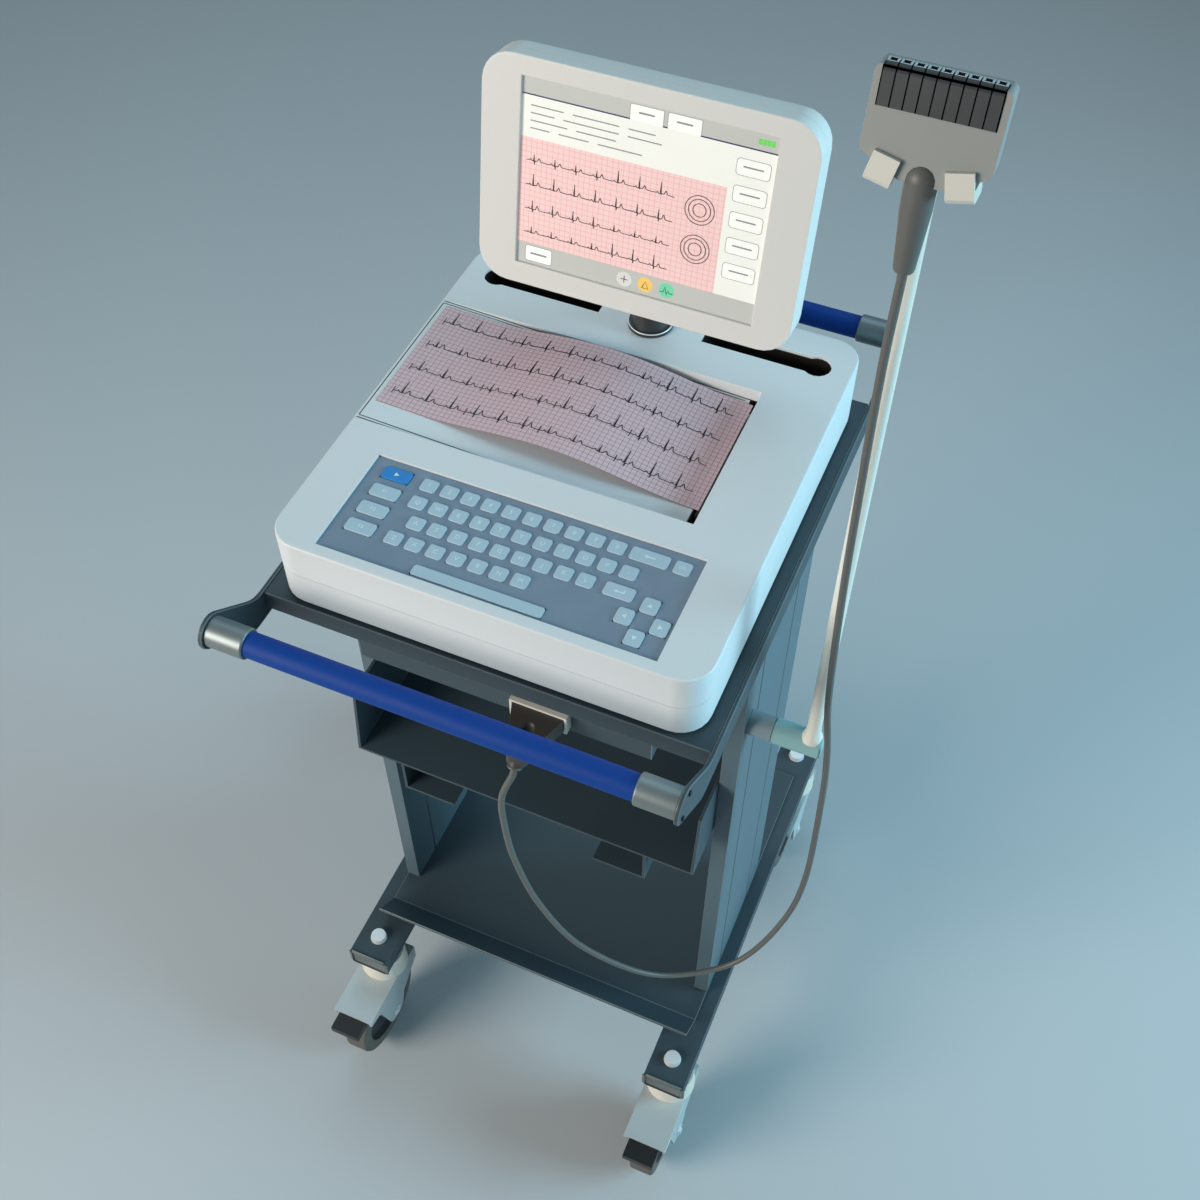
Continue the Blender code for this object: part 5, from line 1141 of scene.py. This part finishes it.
bezel = copied("monitor_bezel")
bezel.data.transform(screen_back)
rounded(bezel, lambda at, way: front_edge(at, way) and outer_rim(at) < 0.001, 0.0013, 4)
rounded(bezel, lambda at, way: front_edge(at, way) and outer_rim(at) > 0.015, 0.0010, 3)
bpy.ops.object.mode_set(mode="OBJECT")
bezel.data.transform(screen_turn)
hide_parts("monitor_bezel")
settle(bezel, "screen", "case_plastic", screen_white)
shell = dressed("monitor_rear_shell", screen_white, near_black_and_painted_shade, edge=0.0005)
housing_back = -0.0113
louvre_low = 0.052
louvre_pitch = 0.0060
louvre_size = (0.130, 0.0032, 0.0024)
louvres = []
for k in range(10):
    louvre = block("louvre", (0, housing_back, louvre_low + k * louvre_pitch), louvre_size)
    rounded(louvre, lambda at, way: abs(way.y) > 0.0001, 0.0011, 3)
    bpy.ops.object.mode_set(mode="OBJECT")
    louvres.append(louvre)
shell.data.transform(screen_back)
cut_out(shell, joined("vents", louvres))


def in_louvre(at, way):
    """Whether a face lies inside one of the slits."""
    sunk = housing_back - 0.0020 < at.y < housing_back - 0.0001
    return sunk and abs(at.x) < 0.066 and 0.05 < at.z < 0.11


# the slits' insides painted near-black: painted shade
repaint(shell, 1, in_louvre)
shell.data.transform(screen_turn)
settle(shell, "screen", "case_plastic")
facing = screen_turn.to_3x3() @ Vector((0, 1, 0))
shell_spots = []
for x in (-0.122, 0.122):
    for z in (-0.040, 0.118):
        shell_spots.append((screen_turn @ Vector((x, housing_back, z)), facing))
screws("shell_screws", shell_spots, 0.0030, "screen", "dark_plastic", screw_black)

# Lit panel. A flat colour display shows a record page: a grey bar with tabs, rows of entries,
# a pink grid with running traces, a column of blank buttons and a tray with three round keys.
window_left = -0.1118
window_right = 0.1128
window_low = -0.0445
window_high = 0.1263
panel_face = -0.0440
layer_gap = 0.00006


def lit(name, colour, glow=0.27):
    """A colour shown by the lit panel, with the panel's faint unevenness."""
    material = surface(name, colour, 0.35, drift=0.02, cloud=30.0, grain=0.02, speck=3000.0)
    shader = material.node_tree.nodes["Principled BSDF"]
    tint = shader.inputs["Base Color"].links[0].from_socket
    material.node_tree.links.new(tint, shader.inputs["Emission Color"])
    shader.inputs["Emission Strength"].default_value = glow
    return material


def tile(left, low, right, high, level, corner=0.0):
    """A flat area of the picture, in millimetres from the window's lower left corner."""
    bpy.ops.object.select_all(action="DESELECT")
    bpy.ops.mesh.primitive_plane_add(size=1.0, rotation=(math.pi / 2, 0, 0))
    area = bpy.context.object
    area.scale = ((right - left) / 1000, (high - low) / 1000, 1)
    area.location.x = window_left + (left + right) / 2000
    area.location.z = window_low + (low + high) / 2000
    area.location.y = panel_face - layer_gap * level
    area = begin("tile")
    if corner:
        bpy.ops.object.mode_set(mode="EDIT")
        bpy.ops.mesh.select_all(action="SELECT")
        bpy.ops.mesh.bevel(offset=corner / 1000, segments=4, affect="VERTICES")
        bpy.ops.object.mode_set(mode="OBJECT")
    return area


def disc(x, z, radius, level, sides=40):
    """A round area of the picture."""
    bpy.ops.object.select_all(action="DESELECT")
    bpy.ops.mesh.primitive_circle_add(
        vertices=sides, radius=radius / 1000, fill_type="NGON", rotation=(math.pi / 2, 0, 0),
        location=(window_left + x / 1000, panel_face - layer_gap * level, window_low + z / 1000),
    )
    return begin("disc")


def shown(name, areas, finish):
    """Areas of one colour made one piece and set in the tilted housing."""
    piece = joined(name, areas)
    piece.data.transform(screen_turn)
    return settle(piece, "screen", "screen", finish)


wide = (window_right - window_left) * 1000
tall = (window_high - window_low) * 1000
tray_top = 20.0
bar_low = 156.0
grid_right = 186.0
grid_top = 118.0
shown("page", [tile(0, 0, wide, tall, 1)], lit("page_white", (0.78, 0.79, 0.75)))
greys = [tile(0, bar_low, wide, tall, 2), tile(0, 0, wide, tray_top, 2)]
shown("page_bars", greys, lit("bar_grey", (0.46, 0.47, 0.45)))
shown("page_line", [tile(0, bar_low - 1.2, wide, bar_low, 3)], lit("line_navy", (0.02, 0.025, 0.10)))
grid = tile(0, tray_top, grid_right, grid_top, 2)
grid_map = grid.data.uv_layers.active.data
for loop in grid.data.loops:
    place = grid.data.vertices[loop.vertex_index].co
    grid_map[loop.index].uv = ((place.x - window_left) * 1000, (place.z - window_low) * 1000 - tray_top)
grid_pink = grid_finish(
    "grid_pink", (0.80, 0.57, 0.56), (0.78, 0.50, 0.50), (0.72, 0.36, 0.38), 0.35, glow=0.26
)
shown("page_grid", [grid], grid_pink)
edges = []
whites = []
button_left = grid_right + 5.0
button_right = wide - 4.0
button_count = 5
button_pitch = 23.5
rim = 0.6
for k in range(button_count):
    top = bar_low - 10.0 - k * button_pitch
    edges.append(tile(button_left, top - 15.0, button_right, top, 2, 3.0))
    whites.append(tile(button_left + rim, top - 15.0 + rim, button_right - rim, top - rim, 3, 2.6))
for left, right in ((96.0, 126.0), (129.0, 159.0)):
    edges.append(tile(left, bar_low - 1.2, right, tall - 2.0, 3, 1.2))
    whites.append(tile(left + rim, bar_low - 1.2, right - rim, tall - 2.0 - rim, 4, 1.0))
edges.append(tile(8, 2.5, 34, tray_top - 2.0, 3, 2.4))
whites.append(tile(8 + rim, 2.5 + rim, 34 - rim, tray_top - 2.0 - rim, 4, 2.0))
shown("page_button_edges", edges, lit("button_edge", (0.30, 0.32, 0.33)))
shown("page_buttons", whites, lit("button_white", (0.84, 0.85, 0.83)))
entries = []
for row, lengths in enumerate(((30, 42, 24), (22, 50, 30), (34, 36), (18, 28, 40))):
    left = 8.0
    for length in lengths:
        base = bar_low - 9.0 - row * 6.6
        entries.append(tile(left, base - 1.1, left + length, base, 2, 0.4))
        left += length + 8.0
for k in range(button_count):
    base = bar_low - 17.0 - k * button_pitch
    entries.append(tile(button_left + 6.0, base - 0.6, button_right - 6.0, base + 0.8, 4, 0.5))
for left in (104.0, 137.0):
    entries.append(tile(left, bar_low + 5.4, left + 14.0, bar_low + 7.0, 5, 0.5))
entries.append(tile(13.0, 9.6, 29.0, 11.4, 5, 0.5))
shown("page_entries", entries, lit("entry_grey", (0.24, 0.25, 0.26)))
round_keys = (
    ("grey", 104, (0.62, 0.62, 0.60)),
    ("amber", 124, (0.80, 0.52, 0.14)),
    ("green", 144, (0.16, 0.58, 0.36)),
)
for name, x, colour in round_keys:
    shown("round_key_" + name, [disc(x, 10, 7.2, 3)], lit("key_disc_" + name, colour))
charge = []
for k in range(4):
    left = wide - 18.0 + k * 3.6
    charge.append(tile(left, bar_low + 4.4, left + 3.0, bar_low + 9.4, 4, 0.4))
shown("charge_cells", charge, lit("charge_green", (0.14, 0.62, 0.10)))


def on_panel(x, z):
    """Place of a point of the picture, in front of its topmost layer."""
    return screen_turn @ Vector((window_left + x / 1000, panel_face - 6 * layer_gap, window_low + z / 1000))


page_lines = []
for row in range(4):
    base = grid_top - 20.0 - row * 22.5
    page_lines.append(trace_points(6.0, grid_right - 44.0, base, 11.0, 7, row + 5, 2))
page_lines.append([(138, 8), (141, 8), (142.4, 13.4), (144.4, 6.2), (145.8, 10.4), (146.8, 8), (150, 8)])
page_lines.append([(121, 6.6), (127, 6.6), (124, 13.2), (121, 6.6)])
page_lines.append([(100.6, 10), (107.4, 10)])
page_lines.append([(104, 6.6), (104, 13.4)])
ring_x = 165
turns = [k * math.pi / 18 for k in range(37)]
for ring_z in (92, 56):
    for radius in (13.0 * 0.45, 13.0 * 0.75, 13.0):
        page_lines.append([(ring_x + radius * math.cos(a), ring_z + radius * math.sin(a)) for a in turns])
settle(inked("page_traces", page_lines, 0.65, on_panel), "screen", "screen", ink_black)

# Studio. The cart stands on a plain pale floor under broad soft lamps, warmer from the
# left and cooler from the right, seen from above its front right corner.
floor_grey = bpy.data.materials.new("floor_grey")
floor_grey.use_nodes = True
floor_shader = floor_grey.node_tree.nodes["Principled BSDF"]
floor_shader.inputs["Base Color"].default_value = (0.45, 0.485, 0.515, 1)
floor_shader.inputs["Roughness"].default_value = 0.75
bpy.ops.object.select_all(action="DESELECT")
bpy.ops.mesh.primitive_plane_add(size=14.0, location=(0, 2.0, 0))
floor = begin("studio_floor")
floor.data.materials.append(floor_grey)
scene = bpy.context.scene
scene.view_settings.view_transform = "Standard"
world = bpy.data.worlds.new("studio")
scene.world = world
world.use_nodes = True
sky = world.node_tree.nodes["Background"]
sky.inputs["Color"].default_value = (0.68, 0.89, 1.0, 1)
sky.inputs["Strength"].default_value = 0.24


def soft_lamp(name, place, target, size, power, colour, fan):
    """A round area lamp aimed at a place, its light kept within a cone of fan degrees."""
    lamp = bpy.data.lights.new(name, "AREA")
    lamp.shape = "DISK"
    lamp.size = size
    lamp.energy = power
    lamp.spread = math.radians(fan)
    lamp.color = colour
    holder = bpy.data.objects.new(name, lamp)
    holder.location = place
    holder.rotation_euler = (Vector(target) - Vector(place)).to_track_quat("-Z", "Y").to_euler()
    bpy.context.scene.collection.objects.link(holder)


soft_lamp("warm_key", (-2.0, -2.7, 1.9), (0, 0, 0.8), 2.0, 71, (1.0, 0.91, 0.80), 140)
soft_lamp("cool_side", (3.0, 0.7, 1.5), (0, 0, 0.8), 1.9, 48, (0.50, 0.86, 1.0), 110)
soft_lamp("top_soft", (-0.6, 1.4, 3.4), (0, 0, 0.9), 2.4, 20, (0.60, 0.88, 1.0), 180)
lens = bpy.data.cameras.new("photo_view")
lens.sensor_width = 36.0
lens.lens = 43.586
camera = bpy.data.objects.new("photo_view", lens)
camera.location = (0.3374, -0.8288, 1.8876)
sight = Vector((-0.2463, 0.5713, -0.7829))
camera.rotation_euler = sight.to_track_quat("-Z", "Y").to_euler()
scene.collection.objects.link(camera)
scene.camera = camera
